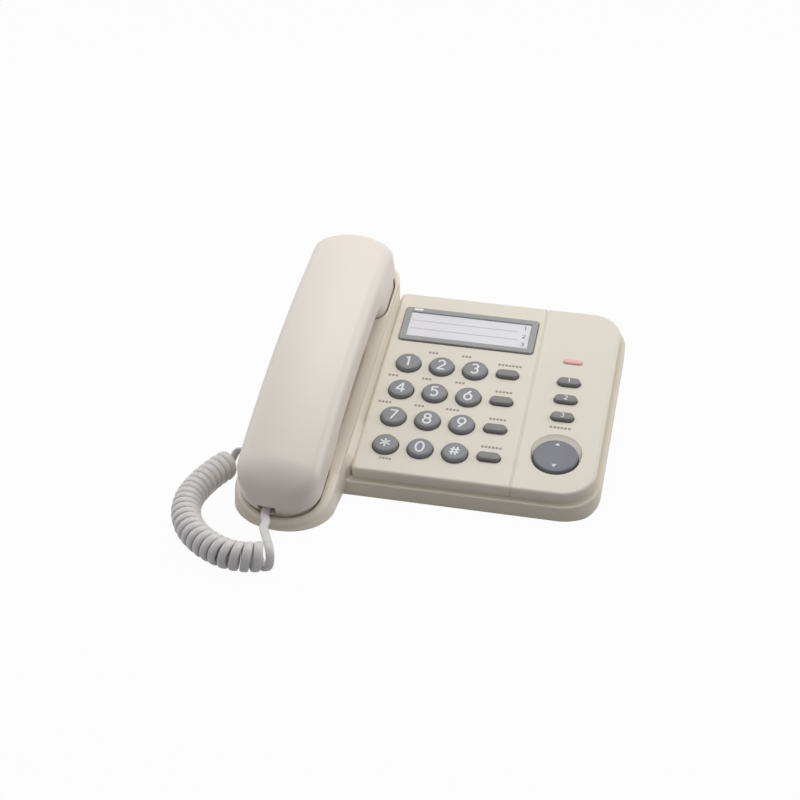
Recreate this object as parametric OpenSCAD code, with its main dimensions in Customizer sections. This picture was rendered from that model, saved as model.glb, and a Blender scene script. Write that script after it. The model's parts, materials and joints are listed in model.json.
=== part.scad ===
// Corded desk telephone: sloping keypad base, cradle, handset and curly cord.
// Frame: origin at the centre of the footprint on the desk, +Z up, keys facing -Y.

/* [Case] */
// Overall width of the base
case_w = 190; // [188:1:194]
// Overall depth of the base, cradle included
case_d = 196; // [194:1:200]
// Slope of the keypad deck in degrees
deck_tilt = 14; // [13.5:0.25:14.5]
// Width of the raised deck plate
deck_w = 129; // [127:0.5:131]
// Length of the raised deck plate along its slope
deck_l = 145.5; // [144:0.5:147]
// Height of the deck plate's front edge above the desk
deck_h = 16.8; // [16.5:0.1:17.5]
// How far the deck plate stands above the lower case
lip_h = 6.5; // [6.2:0.1:6.8]
// Wall thickness of the case mouldings
wall = 2.2; // [2:0.1:2.4]
// Height of the rubber feet under the case
foot_h = 1; // [0.9:0.1:1.2]

/* [Cradle] */
// Width of the cradle housing
pod_w = 53.6; // [53.4:0.1:54]
// Turn of the cradle against the deck, seen from above, in degrees
pod_turn = -1.4; // [-1.6:0.1:-1.2]
// Slope of the cradle rim in degrees
pod_tilt = 17.5; // [17.25:0.25:17.75]
// Height of the cradle rim at its front end
pod_h = 5.6; // [5.5:0.1:5.8]
// Depth of the earpiece well below the rim
ear_depth = 12; // [11:0.5:13]
// Depth of the finger trough under the grip
trough_depth = 10; // [8:0.5:11]

/* [Handset] */
// Width of the handset
hs_w = 45.4; // [44:0.2:46]
// Height of the handset's crown above the cradle rim
hs_top = 25; // [23:0.5:27]
// Rise of the grip's underside above the cradle rim
grip_lift = 4; // [4:0.25:5]
// How far the middle of the handset arches up
hs_arch = 6.5; // [5:0.5:7]
// Height of the joint between the two shells above the rim
hs_split = 8; // [7.5:0.25:9]
// Width of the earpiece where it enters its well
ear_w = 48.6; // [47:0.2:49]
// Width of the mouthpiece where it enters its well
mouth_w = 42.6; // [41:0.2:44]
// Clearance between a cap and its well, each side
well_gap = 0.5; // [0.4:0.05:0.6]

/* [Keys] */
// Radius of a digit key
key_r = 7.3; // [7:0.1:7.5]
// How far the keys stand above the deck
key_rise = 2.2; // [2:0.1:2.6]
// Column pitch of the digit keys
key_pitch_x = 18.8; // [18.6:0.1:19]
// Row pitch of the keys along the deck
key_pitch_y = 21.8; // [21.6:0.1:22]
// Length of a pill-shaped key
pill_l = 13.2; // [12.6:0.2:13.8]
// Width of a pill-shaped key
pill_w = 6.2; // [5.8:0.2:6.6]
// Radius of the volume key
vol_r = 12.3; // [12:0.1:12.6]
// Gap between a key and its opening, each side
key_gap = 0.35; // [0.3:0.05:0.4]

/* [Card] */
// Length of the number card's frame
card_l = 77.3; // [76:0.5:79]
// Height of the number card's frame
card_h = 28.3; // [27:0.5:29.5]
// Width of the frame's border
card_border = 4; // [3.5:0.25:4.5]

/* [Cord] */
// Number of curls
curls = 24; // [22:1:24]
// Thickness of the cord
cord_d = 3; // [2.8:0.1:3]
// Radius of a curl to the cord's centre
curl_r = 6.4; // [6.2:0.1:6.5]

/* [Hidden] */
$fn = 72;
big = 400;
zero = 0.01;

// Deck frame: u to the right, v up the slope, w out of the plate.
side_step = 3;
front_step = 2;
deck_x = case_w / 2 - side_step - deck_w;
deck_y = -55;
back_y = deck_y + deck_l * cos(deck_tilt) + front_step + 0.8;
floor_t = 2.4;
floor_z = foot_h + floor_t;

// Cradle frame: u across, v up the slope, w out of the rim.
pod_x = -case_w / 2 + pod_w / 2 * (1 + sin(pod_turn));
pod_y = -case_d / 2;
pod_len = (case_d - pod_w) / cos(pod_turn) + pod_w;
// A line inside the cradle's right wall, all along the deck.
inner_x = deck_x - 11;

// Handset ends measured along the rim.
hs_front = 5;
hs_back = 201.5;
cap_front = 5.8;
ear_v0 = 156;
ear_v1 = 199;
mouth_v1 = 47;
mouth_r = mouth_w / 2 - 0.3;
fit = 0.1;
// The handset is bent to a wide arc; its ends lie lower than its middle.
hs_mid = (hs_front + hs_back) / 2;
hs_drop = 9;
hs_arc = (hs_mid - hs_front) * (hs_mid - hs_front) / (2 * hs_drop);
hs_turn = 12;
// Radii of the crown, of its edges and of the back end seen from above.
crown_r = 80;
edge_r = 5;
back_r = 38;
function arch(v) = hs_arch - (v - hs_mid) * (v - hs_mid) / (2 * hs_arc);

// Colours
ivory = [0.84, 0.80, 0.72];
ivory_low = [0.74, 0.70, 0.61];
key_grey = [0.36, 0.37, 0.39];
volume_grey = [0.42, 0.45, 0.50];
cord_grey = [0.78, 0.78, 0.78];
board_green = [0.15, 0.38, 0.22];
dark = [0.12, 0.12, 0.13];
steel = [0.7, 0.71, 0.72];

module on_deck(u = 0, v = 0, w = 0) {
  translate([deck_x, deck_y, deck_h])
    rotate([deck_tilt, 0, 0])
      translate([u, v, w])
        children();
}

module on_pod(u = 0, v = 0, w = 0) {
  translate([pod_x, pod_y, pod_h])
    rotate([pod_tilt, 0, pod_turn])
      translate([u, v, w])
        children();
}

// What lies outside a corner's arc.
module corner_waste(x, y, turn, r) {
  translate([x, y])
    rotate(turn)
      difference() {
        translate([-1, -1])
          square([r + 1, r + 1]);
        translate([r, r])
          circle(r = r);
      }
}

// Rectangle with its own radius at each corner, front left first, anticlockwise.
module round_rect(x0, y0, x1, y1, r) {
  difference() {
    translate([x0, y0])
      square([x1 - x0, y1 - y0]);
    corner_waste(x0, y0, 0, r[0]);
    corner_waste(x1, y0, 90, r[1]);
    corner_waste(x1, y1, 180, r[2]);
    corner_waste(x0, y1, 270, r[3]);
  }
}

module pill(l, d) {
  translate([-(l - d) / 2, 0])
    circle(d = d);
  translate([(l - d) / 2, 0])
    circle(d = d);
  translate([-(l - d) / 2, -d / 2])
    square([l - d, d]);
}

// Solid outside of the raised plate, moved in by g, between two heights.
module lip_solid(g, w0, w1) {
  on_deck(0, 0, w0)
    linear_extrude(height = w1 - w0)
      round_rect(g, g, deck_w - g, deck_l - g, [2, 19 - g, 17 - g, 2]);
}

module below_deck(w) {
  intersection() {
    children();
    on_deck(-big / 2, -big / 2, w - big)
      cube([big, big, big]);
  }
}

module above_deck(w) {
  intersection() {
    children();
    on_deck(-big / 2, -big / 2, w)
      cube([big, big, big]);
  }
}

// Footprint of the lower case beside the cradle, moved in by g.
module low_plan(g, left) {
  round_rect(left, deck_y - front_step + g, case_w / 2 - g, back_y - g,
    [0.5, 21 - g, 19 - g, 0.5]);
}

module pod_plan(g) {
  front = pod_w / 2 - 0.6 - g;
  back = 20 - g;
  translate([pod_x, pod_y])
    rotate(pod_turn)
      round_rect(-pod_w / 2 + g, g, pod_w / 2 - g, pod_len - g, [front, front, back, back]);
}

// Points of the cradle's left wall: in from the wall, along it and up.
module on_wall(dx, dy, z) {
  translate([pod_x, pod_y, 0])
    rotate(pod_turn)
      translate([-pod_w / 2 + dx, dy, z])
        children();
}

module below_rim(w) {
  intersection() {
    children();
    on_pod(-big / 2, -big / 2, w - big)
      cube([big, big, big]);
  }
}

module pod_solid(g, w) {
  below_rim(w)
    translate([0, 0, foot_h])
      linear_extrude(height = 120)
        pod_plan(g);
}

// Plan of the earpiece, grown by g.
module ear_plan(g) {
  round_rect(-ear_w / 2 - g, ear_v0 - g, ear_w / 2 + g, ear_v1 + g,
    [13 + g, 13 + g, 20 + g, 20 + g]);
}

module mouth_plan(g) {
  round_rect(-mouth_w / 2 - g, cap_front - g, mouth_w / 2 + g, mouth_v1 + g,
    [mouth_r + g, mouth_r + g, 10 + g, 10 + g]);
}

module ear_solid(g, w0, w1) {
  on_pod(0, 0, w0)
    linear_extrude(height = w1 - w0)
      ear_plan(g);
}

// Room for the fingers under the grip.
module trough_solid(g, w0, w1) {
  on_pod(0, 0, w0)
    linear_extrude(height = w1 - w0)
      round_rect(-17 - g, 66 - g, 17 + g, 134 + g, [8 + g, 8 + g, 8 + g, 8 + g]);
}

// The mouthpiece ends in a level face at height z0.
module mouth_solid(g, z0, w1) {
  intersection() {
    on_pod(0, 0, w1 - 60)
      linear_extrude(height = 60)
        mouth_plan(g);
    translate([-big / 2, -big / 2, z0])
      cube([big, big, big]);
  }
}

mouth_floor = floor_z + 2;

// Screw posts of the case, in deck coordinates.
posts = [[6.5, 12], [118.5, 12], [6.5, 134], [118.5, 134]];
post_r = 3.2;
screw_r = 1.4;
post_z = floor_z + 2.6;
function post_x(p) = deck_x + p[0];
function post_y(p) = deck_y + p[1] * cos(deck_tilt);
pod_post_y = 40;
pod_post_x = pod_x - (pod_post_y - pod_y) * sin(pod_turn);

// Key centres on the deck.
col0 = 15;
row0 = 20.2;
function col(i) = col0 + i * key_pitch_x;
function row(j) = row0 + j * key_pitch_y;
func_u = 70.9;
mem_u = 105.3;
function mem_v(i) = 57.3 + i * 13.9;
vol_u = 105.8;
vol_v = 27.1;
lamp_v = 102.5;
card_u = 5;
card_v = 104.5;
dish_r = vol_r + 1.7;

// Levels below the deck surface.
flange_top = -wall - 0.1;
flange_bot = -4.2;
mat_top = -7.4;
board_top = -8.6;
board_bot = -10.2;
board_u0 = 10.5;
board_u1 = 114.5;
board_v0 = 7;
board_v1 = 118;
key_posts = [[24.4, 53], [111.5, 43], [24, 114], [96, 114]];

jack_t = 58.6;
jack_z = 8.4;
jack_w = 11;
hs_jack_u = -3.5;
hs_jack_w = 4.2;
line_x = 34;
ring_x = 60;
dial_x = 5;
main_z = 9;
main_t = 1.6;
hook_v = 178;

module upper_case() {
  color(ivory)
    difference() {
      union() {
        // raised plate with its skirt
        lip_solid(0, -lip_h, 0);
        // channel floor between the plate and the cradle
        below_deck(-lip_h)
          above_deck(-lip_h - wall)
            translate([inner_x, deck_y - front_step, 0])
              cube([deck_x - inner_x + wall, back_y - deck_y + front_step, 90]);
        pod_solid(0, 0);
      }
      // hollow of the plate
      lip_solid(wall, -lip_h - wall - 1, -wall);
      // hollow of the cradle, round its wells and its trough
      difference() {
        pod_solid_open();
        ear_solid(well_gap + wall, -ear_depth - 2, 0);
        mouth_solid(well_gap + wall, floor_z, 0);
        trough_solid(wall, -trough_depth - wall, 0);
        pod_post();
      }
      // the two wells
      ear_solid(well_gap, -ear_depth, 5);
      mouth_solid(well_gap, mouth_floor, 5);
      trough_solid(0, -trough_depth, 5);
      // hook plunger's bore
      on_pod(0, hook_v, -ear_depth - 3)
        cylinder(r = 3.05, h = 6);
      // openings in the side wall and the deck
      on_wall(-2, jack_t - 4.6, jack_z - 4.3)
        cube([wall + 4, 9.2, 8.6]);
      key_openings();
      on_deck(card_u, card_v, -0.9)
        cube([card_l, card_h, 3]);
      on_deck(85, -1, -0.6)
        cube([0.8, deck_l + 2, 2]);
      on_deck(84.7, -0.3, -lip_h - 1)
        cube([0.8, 0.9, lip_h + 2]);
      on_deck(vol_u, vol_v, -1.1)
        cylinder(r1 = dish_r - 1.1, r2 = dish_r, h = 1.2);
      // pod post screw hole
      translate([pod_post_x, pod_post_y, foot_h])
        cylinder(r = screw_r, h = 22);
    }
  color(ivory)
    for (p = posts)
      case_post(p);
  color(ivory)
    for (p = key_posts)
      on_deck(p[0], p[1], board_top)
        difference() {
          cylinder(r = 2.6, h = -wall - board_top + 0.3);
          translate([0, 0, -1])
            cylinder(r = 1.1, h = 5);
        }
  // bearings of the volume key
  color(ivory)
    for (s = [-1, 1])
      on_deck(vol_u + s * (vol_r + 1.4), vol_v, 0)
        difference() {
          translate([-0.7, -2.3, pin_w - 2])
            cube([1.4, 4.6, -wall + 0.3 - pin_w + 2]);
          translate([-2, 0, pin_w])
            rotate([0, 90, 0])
              cylinder(r = pin_r + 0.05, h = 4);
        }
}

module pod_solid_open() {
  below_rim(-wall)
    translate([0, 0, foot_h - 1])
      linear_extrude(height = 120)
        pod_plan(wall);
  // open side towards the deck, below the channel floor
  below_deck(-lip_h - wall)
    translate([inner_x, deck_y + 2.5, foot_h - 1])
      cube([deck_x - inner_x + wall, back_y - deck_y - 5, 90]);
}

module pod_post() {
  translate([pod_post_x, pod_post_y, post_z])
    cylinder(r = post_r + 1, h = 80);
}

module case_post(p) {
  difference() {
    intersection() {
      translate([post_x(p), post_y(p), post_z])
        cylinder(r = post_r, h = 80);
      on_deck(-big / 2, -big / 2, -wall + 0.3 - big)
        cube([big, big, big]);
    }
    translate([post_x(p), post_y(p), post_z - 1])
      cylinder(r = screw_r, h = 12);
  }
}

module key_openings() {
  for (i = [0:2])
    for (j = [0:3])
      on_deck(col(i), row(j), -wall - 1)
        cylinder(r = key_r + key_gap, h = wall + 3);
  for (j = [0:3])
    on_deck(func_u, row(j), -wall - 1)
      linear_extrude(height = wall + 3)
        pill(pill_l + 2 * key_gap, pill_w + 2 * key_gap);
  for (i = [0:2])
    on_deck(mem_u, mem_v(i), -wall - 1)
      linear_extrude(height = wall + 3)
        pill(pill_l + 2 * key_gap, pill_w + 2 * key_gap);
  on_deck(mem_u, lamp_v, -wall - 1)
    linear_extrude(height = wall + 3)
      pill(11, 4);
  on_deck(vol_u, vol_v, -wall - 1)
    cylinder(r = vol_r + key_gap, h = wall + 3);
}

module lower_case() {
  color(ivory_low)
    difference() {
      union() {
        difference() {
          union() {
            // band under the plate's edge
            below_deck(-lip_h)
              above_deck(-lip_h - 10)
                translate([0, 0, foot_h])
                  linear_extrude(height = 90)
                    low_plan(0, inner_x);
            // set-back body down to the floor
            below_deck(-lip_h - 9)
              translate([0, 0, foot_h])
                linear_extrude(height = 90)
                  low_plan(2.5, inner_x);
          }
          translate([0, 0, foot_h - 1])
            linear_extrude(height = 120)
              pod_plan(-fit);
        }
        // floor under the cradle
        translate([0, 0, foot_h])
          linear_extrude(height = floor_t)
            pod_plan(wall + fit);
        translate([inner_x - 1, deck_y + 2.6, foot_h])
          cube([deck_x - inner_x + 4, back_y - deck_y - 5.2, floor_t]);
      }
      // hollow
      difference() {
        translate([0, 0, floor_z])
          linear_extrude(height = 90)
            low_plan(4.8, inner_x - 1);
        for (p = posts)
          translate([post_x(p), post_y(p), 0])
            cylinder(r = 5, h = post_z);
      }
      // the channel's floor and skirt pass here
      above_deck(-lip_h - wall)
        translate([inner_x - 1, deck_y - front_step - 1, 0])
          cube([deck_x - inner_x + wall + 1, back_y - deck_y + 6, 120]);
      for (p = posts)
        screw_way(post_x(p), post_y(p));
      screw_way(pod_post_x, pod_post_y);
      for (f = feet)
        translate([f[0], f[1], foot_h - 1])
          cylinder(r = 5, h = 1.6);
      // rear openings
      translate([line_x - 5.9, back_y - 6, main_z + main_t + 1.2])
        cube([11.8, 8, 8]);
      translate([ring_x - 5, back_y - 6, main_z + main_t + 2.2])
        cube([10, 8, 3]);
      translate([dial_x - 4, back_y - 6, main_z + main_t + 2.2])
        cube([8, 8, 3]);
      for (s = [-1, 1])
        keyhole(16, 12 + s * 41.5);
    }
  color(ivory_low)
    difference() {
      translate([pod_post_x, pod_post_y, floor_z])
        cylinder(r = 5, h = post_z - floor_z);
      screw_way(pod_post_x, pod_post_y);
    }
  color(ivory_low)
    for (q = board_feet)
      translate([q[0], q[1], floor_z])
        difference() {
          cylinder(r = 3, h = main_z - floor_z);
          translate([0, 0, 0.5])
            cylinder(r = 1.1, h = 6);
        }
}

module screw_way(x, y) {
  translate([x, y, foot_h - 1])
    cylinder(r = 3.1, h = 3.1);
  translate([x, y, foot_h - 1])
    cylinder(r = 1.6, h = 12);
}

// Slot and head opening for a wall screw.
module keyhole(x, y) {
  translate([x, y, foot_h - 1])
    cylinder(r = 4.2, h = 5);
  translate([x, y + 7, foot_h - 1])
    cylinder(r = 2.1, h = 5);
  translate([x - 2.1, y, foot_h - 1])
    cube([4.2, 7, 5]);
}

feet = [[-68, -80], [-64, 84], [80, -28], [80, 58]];
board_feet = [[-24, 24], [74, 24], [-24, 72], [74, 62]];

module rubber_feet() {
  color(dark)
    for (f = feet)
      translate([f[0], f[1], 0])
        cylinder(r = 5, h = foot_h + 0.6);
}

module case_screw(x, y) {
  translate([x, y, foot_h + 0.1])
    cylinder(r = 2.9, h = 2);
  translate([x, y, foot_h + 2])
    cylinder(r = screw_r, h = 11);
}

module case_screws() {
  color(steel)
    for (p = posts)
      case_screw(post_x(p), post_y(p));
  color(steel)
    case_screw(pod_post_x, pod_post_y);
}

// Rubber sheet on the key board, with a dome under each key.
module key_mat() {
  color([0.55, 0.56, 0.56])
    union() {
      difference() {
        on_deck(board_u0 + 0.5, board_v0 + 0.5, board_top)
          cube([board_u1 - board_u0 - 1, 100 - board_v0, mat_top - board_top]);
        for (p = key_posts)
          on_deck(p[0], p[1], board_top - 1)
            cylinder(r = 3.1, h = 5);
        on_deck(mem_u - 4, lamp_v - 4, board_top - 1)
          cube([8, 10, 5]);
      }
      for (i = [0:2])
        for (j = [0:3])
          on_deck(col(i), row(j), mat_top)
            cylinder(r1 = 5, r2 = 3, h = 1);
      for (j = [0:3])
        on_deck(func_u, row(j), mat_top)
          cylinder(r1 = 2.8, r2 = 2, h = 1);
      for (i = [0:2])
        on_deck(mem_u, mem_v(i), mat_top)
          cylinder(r1 = 2.8, r2 = 2, h = 1);
      for (s = [-1, 1])
        on_deck(vol_u, vol_v + s * 7, mat_top)
          cylinder(r1 = 2.8, r2 = 2, h = 1);
    }
}

module key_board() {
  color(board_green)
    difference() {
      on_deck(board_u0, board_v0, board_bot)
        cube([board_u1 - board_u0, board_v1 - board_v0, board_top - board_bot]);
      for (p = key_posts)
        on_deck(p[0], p[1], board_bot - 1)
          cylinder(r = 1.3, h = 4);
    }
}

module board_screws() {
  color(steel)
    for (p = key_posts)
      on_deck(p[0], p[1], board_bot)
        union() {
          translate([0, 0, -1.4])
            cylinder(r = 2.3, h = 1.4);
          translate([0, 0, -0.2])
            cylinder(r = 1.1, h = 4.8);
        }
  color(steel)
    for (q = board_feet)
      translate([q[0], q[1], main_z + main_t])
        union() {
          cylinder(r = 2.3, h = 1.4);
          translate([0, 0, -4.6])
            cylinder(r = 1.1, h = 5);
        }
}

module main_board() {
  color(board_green)
    difference() {
      translate([-26.5, 19, main_z])
        cube([104, 60, main_t]);
      for (q = board_feet)
        translate([q[0], q[1], main_z - 1])
          cylinder(r = 1.3, h = 4);
    }
}

// Flat cable from the key board's underside to the main board.
module ribbon_cable() {
  color([0.8, 0.8, 0.82])
    union() {
      intersection() {
        translate([20, 40, main_z + main_t])
          cube([26, 0.8, 60]);
        on_deck(-big / 2, -big / 2, board_bot - big)
          cube([big, big, big]);
      }
    }
}

module speech_chip() {
  color(dark)
    translate([-10, 50, main_z + main_t])
      cube([20, 10, 3.4]);
}

module capacitors() {
  color([0.2, 0.25, 0.4])
    for (i = [0:2])
      translate([54 + i * 9, 48, main_z + main_t])
        cylinder(r = 3.5 - 0.3 * i, h = 9);
}

module ringer_disc() {
  color([0.2, 0.2, 0.2])
    translate([52, -26, floor_z])
      difference() {
        cylinder(r = 15, h = 5);
        translate([0, 0, 3.5])
          cylinder(r = 11, h = 3);
      }
}

module lamp() {
  color([0.9, 0.35, 0.3])
    on_deck(mem_u, lamp_v, board_top)
      union() {
        cylinder(r = 1.5, h = 3.4);
        cylinder(r = 1.9, h = 1);
      }
}

// Pill-shaped light guide seated in the deck.
module lamp_window() {
  color([0.93, 0.62, 0.58])
    union() {
      on_deck(mem_u, lamp_v, -wall)
        linear_extrude(height = wall + 0.3)
          pill(11 - 0.1, 4 - 0.1);
      on_deck(mem_u, lamp_v, -wall - 1)
        linear_extrude(height = 1)
          pill(13, 6);
    }
}

module number_card() {
  color([0.95, 0.95, 0.97])
    on_deck(card_u + card_border - 1, card_v + card_border - 1, -0.9)
      cube([card_l - 2 * card_border + 2, card_h - 2 * card_border + 2, 0.3]);
}

module card_frame() {
  color([0.45, 0.46, 0.48])
    difference() {
      on_deck(card_u + 0.2, card_v + 0.2, -0.9)
        cube([card_l - 0.4, card_h - 0.4, 1.5]);
      on_deck(card_u + card_border, card_v + card_border, -2)
        cube([card_l - 2 * card_border, card_h - 2 * card_border, 4]);
      on_deck(card_u + card_border - 1.2, card_v + card_border - 1.2, -1.5)
        cube([card_l - 2 * card_border + 2.4, card_h - 2 * card_border + 2.4, 1.3]);
    }
}

module card_window() {
  color([0.85, 0.9, 0.92, 0.4])
    on_deck(card_u + card_border, card_v + card_border, -0.2)
      cube([card_l - 2 * card_border, card_h - 2 * card_border, 0.6]);
}

// Four-contact socket in the base's left wall.
module base_socket() {
  color(dark)
    difference() {
      on_wall(wall, jack_t - jack_w / 2, floor_z)
        cube([14, jack_w, 9.6]);
      on_wall(wall - 1, jack_t - 4, jack_z - 3.5)
        cube([12.5, 8, 7]);
    }
}

module line_socket() {
  color(dark)
    difference() {
      translate([line_x - 7, back_y - 4.8 - 13, main_z + main_t])
        cube([14, 13, 10.6]);
      translate([line_x - 5, back_y - 4.8 - 11.5, main_z + main_t + 1.8])
        cube([10, 13, 7]);
    }
}

module slide_switch(x, w) {
  difference() {
    translate([x - w / 2, back_y - 4.8 - 6, main_z + main_t])
      cube([w, 6, 7.4]);
    translate([x - w / 2 + 1.2, back_y - 4.8 - 4.5, main_z + main_t + 1.9])
      cube([w - 2.4, 6, 3.6]);
  }
}

module slide_knob(x) {
  union() {
    translate([x - 2.5, back_y - 4.8 - 4.2, main_z + main_t + 2.1])
      cube([5, 3.6, 3.2]);
    translate([x - 1.6, back_y - 4.8 - 1, main_z + main_t + 2.5])
      cube([3.2, 6.4, 2.4]);
  }
}

module ringer_switch() {
  color(steel)
    slide_switch(ring_x, 14);
}

module ringer_knob() {
  color(dark)
    slide_knob(ring_x - 3);
}

module dial_switch() {
  color(steel)
    slide_switch(dial_x, 12);
}

module dial_knob() {
  color(dark)
    slide_knob(dial_x - 2);
}

// Hook switch hangs under the earpiece well; its plunger passes the well's floor.
module hook_switch() {
  color(dark)
    on_pod(0, hook_v, -ear_depth - 2 - 14)
      difference() {
        translate([-9, -7, 0])
          cube([18, 14, 14]);
        translate([0, 0, 3])
          cylinder(r = 5.4, h = 12);
      }
}

hook_travel = 4;

module hook_plunger() {
  color(ivory_low)
    on_pod(0, hook_v, -ear_depth)
      union() {
        translate([0, 0, -8])
          cylinder(r = 3, h = 8);
        translate([0, 0, -9])
          cylinder(r = 4.6, h = 1.6);
      }
}

module hook_spring() {
  color(steel)
    on_pod(0, hook_v, -ear_depth - 2 - 11)
      difference() {
        cylinder(r = 4.4, h = 4);
        translate([0, 0, -1])
          cylinder(r = 3.4, h = 6);
      }
}

module digit_key(i, j) {
  color(key_grey)
    on_deck(col(i), row(j), 0)
      union() {
        intersection() {
          translate([0, 0, flange_top])
            cylinder(r = key_r, h = key_rise - flange_top);
          translate([0, 0, key_rise - 60])
            sphere(r = 60);
        }
        translate([0, 0, flange_bot])
          cylinder(r = key_r + 1.1, h = flange_top - flange_bot);
      }
}

module pill_key(u, v) {
  color(key_grey)
    on_deck(u, v, 0)
      union() {
        translate([0, 0, flange_top])
          linear_extrude(height = key_rise - flange_top)
            pill(pill_l, pill_w);
        translate([0, 0, flange_bot])
          linear_extrude(height = flange_top - flange_bot)
            pill(pill_l + 2, pill_w + 2);
      }
}

module key_1() { digit_key(0, 3); }
module key_2() { digit_key(1, 3); }
module key_3() { digit_key(2, 3); }
module key_4() { digit_key(0, 2); }
module key_5() { digit_key(1, 2); }
module key_6() { digit_key(2, 2); }
module key_7() { digit_key(0, 1); }
module key_8() { digit_key(1, 1); }
module key_9() { digit_key(2, 1); }
module key_star() { digit_key(0, 0); }
module key_0() { digit_key(1, 0); }
module key_hash() { digit_key(2, 0); }
module function_key_1() { pill_key(func_u, row(3)); }
module function_key_2() { pill_key(func_u, row(2)); }
module function_key_3() { pill_key(func_u, row(1)); }
module function_key_4() { pill_key(func_u, row(0)); }
module memory_key_1() { pill_key(mem_u, mem_v(2)); }
module memory_key_2() { pill_key(mem_u, mem_v(1)); }
module memory_key_3() { pill_key(mem_u, mem_v(0)); }

// Round rocker on two short pins; it tips towards and away from the user.
pin_w = -3.6;
pin_r = 1.2;

module volume_key() {
  color(volume_grey)
    on_deck(vol_u, vol_v, 0)
      union() {
        intersection() {
          translate([0, 0, -5.9])
            cylinder(r = vol_r, h = 1.6 + 5.9);
          translate([0, 0, 1.6 - 80])
            sphere(r = 80);
        }
        translate([-vol_r - 2.2, 0, pin_w])
          rotate([0, 90, 0])
            cylinder(r = pin_r, h = 2 * vol_r + 4.4);
      }
}

// What a corner of radius r takes off under an arc; the corner's centre is at [x, y]
// and its upper side is turned by t to meet the arc.
module arc_waste(x, y, t, r) {
  translate([x, y])
    rotate(-t)
      difference() {
        square([r + 6, r + 6]);
        circle(r = r);
      }
}

// Section across the handset's body, moved in by g.
module hs_section(g) {
  r = edge_r - g;
  x = hs_w / 2 - edge_r;
  y = hs_top - crown_r + sqrt((crown_r - edge_r) * (crown_r - edge_r) - x * x);
  difference() {
    intersection() {
      round_rect(-hs_w / 2 + g, grip_lift + g, hs_w / 2 - g, hs_top - g, [2, 2, 0.1, 0.1]);
      translate([0, hs_top - crown_r])
        circle(r = crown_r - g, $fn = 360);
    }
    for (m = [0, 1])
      mirror([m, 0])
        arc_waste(x, y, asin(x / (crown_r - edge_r)), r);
  }
}

// Outline of the handset seen from above, moved in by g.
module hs_plan(g) {
  front = 18 - g;
  intersection() {
    round_rect(-hs_w / 2 + g, hs_front + g, hs_w / 2 - g, hs_back - g,
      [front, front, 12 - g, 12 - g]);
    union() {
      translate([0, hs_back - back_r])
        circle(r = back_r - g, $fn = 180);
      translate([-back_r, 0])
        square([2 * back_r, hs_back - back_r]);
    }
  }
}

// Takes the lengthwise corner of radius r off one end; s is 1 at the back, -1 in front.
module hs_end(g, s, r) {
  x = hs_mid - hs_front - r;
  y = hs_top + hs_arch - hs_arc + sqrt((hs_arc - r) * (hs_arc - r) - x * x);
  on_pod(-60, hs_mid, -0.3)
    rotate([90, 0, 90])
      linear_extrude(height = 120)
        mirror([s < 0 ? 1 : 0, 0])
          arc_waste(x, y, asin(x / (hs_arc - r)), r - g);
}

// Places the axis of the arc along u, with the radius to the middle along w.
module on_arc() {
  on_pod(0, hs_mid, hs_top + hs_arch - hs_arc)
    children();
}

// What lies within the arc through a height above the rim at the handset's middle.
module within_arc(w) {
  on_arc()
    rotate([0, 90, 0])
      translate([0, 0, -60])
        cylinder(r = hs_arc - hs_top + w, h = 120, $fn = 720);
}

// Long smooth body of the handset, moved in by g.
module hs_body(g) {
  difference() {
    intersection() {
      on_arc()
        rotate([0, 90, 0])
          rotate([0, 0, 180 - hs_turn])
            rotate_extrude(angle = 2 * hs_turn, $fn = 360)
              translate([hs_arc - hs_top, 0])
                rotate(-90)
                  mirror([1, 0])
                    hs_section(g, $fn = 72);
      on_pod(0, 0, -30)
        linear_extrude(height = 90)
          hs_plan(g);
    }
    hs_end(g, 1, edge_r);
    hs_end(g, -1, 19);
  }
}

hs_posts = [[0, 62], [0, 148]];

module handset_top() {
  color(ivory)
    difference() {
      hs_body(0);
      within_arc(hs_split);
      difference() {
        hs_body(wall);
        for (q = hs_posts)
          on_pod(q[0], q[1], hs_split)
            cylinder(r = 3, h = 30);
      }
      for (q = hs_posts)
        on_pod(q[0], q[1], hs_split + arch(q[1]) - 1)
          cylinder(r = 1.3, h = 9);
      handset_notch();
    }
}

// Opening for the plug in the handset's front end.
module handset_notch() {
  on_pod(hs_jack_u - 5, 0, 0.6)
    cube([10, 14, hs_split - 0.6]);
}

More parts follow.
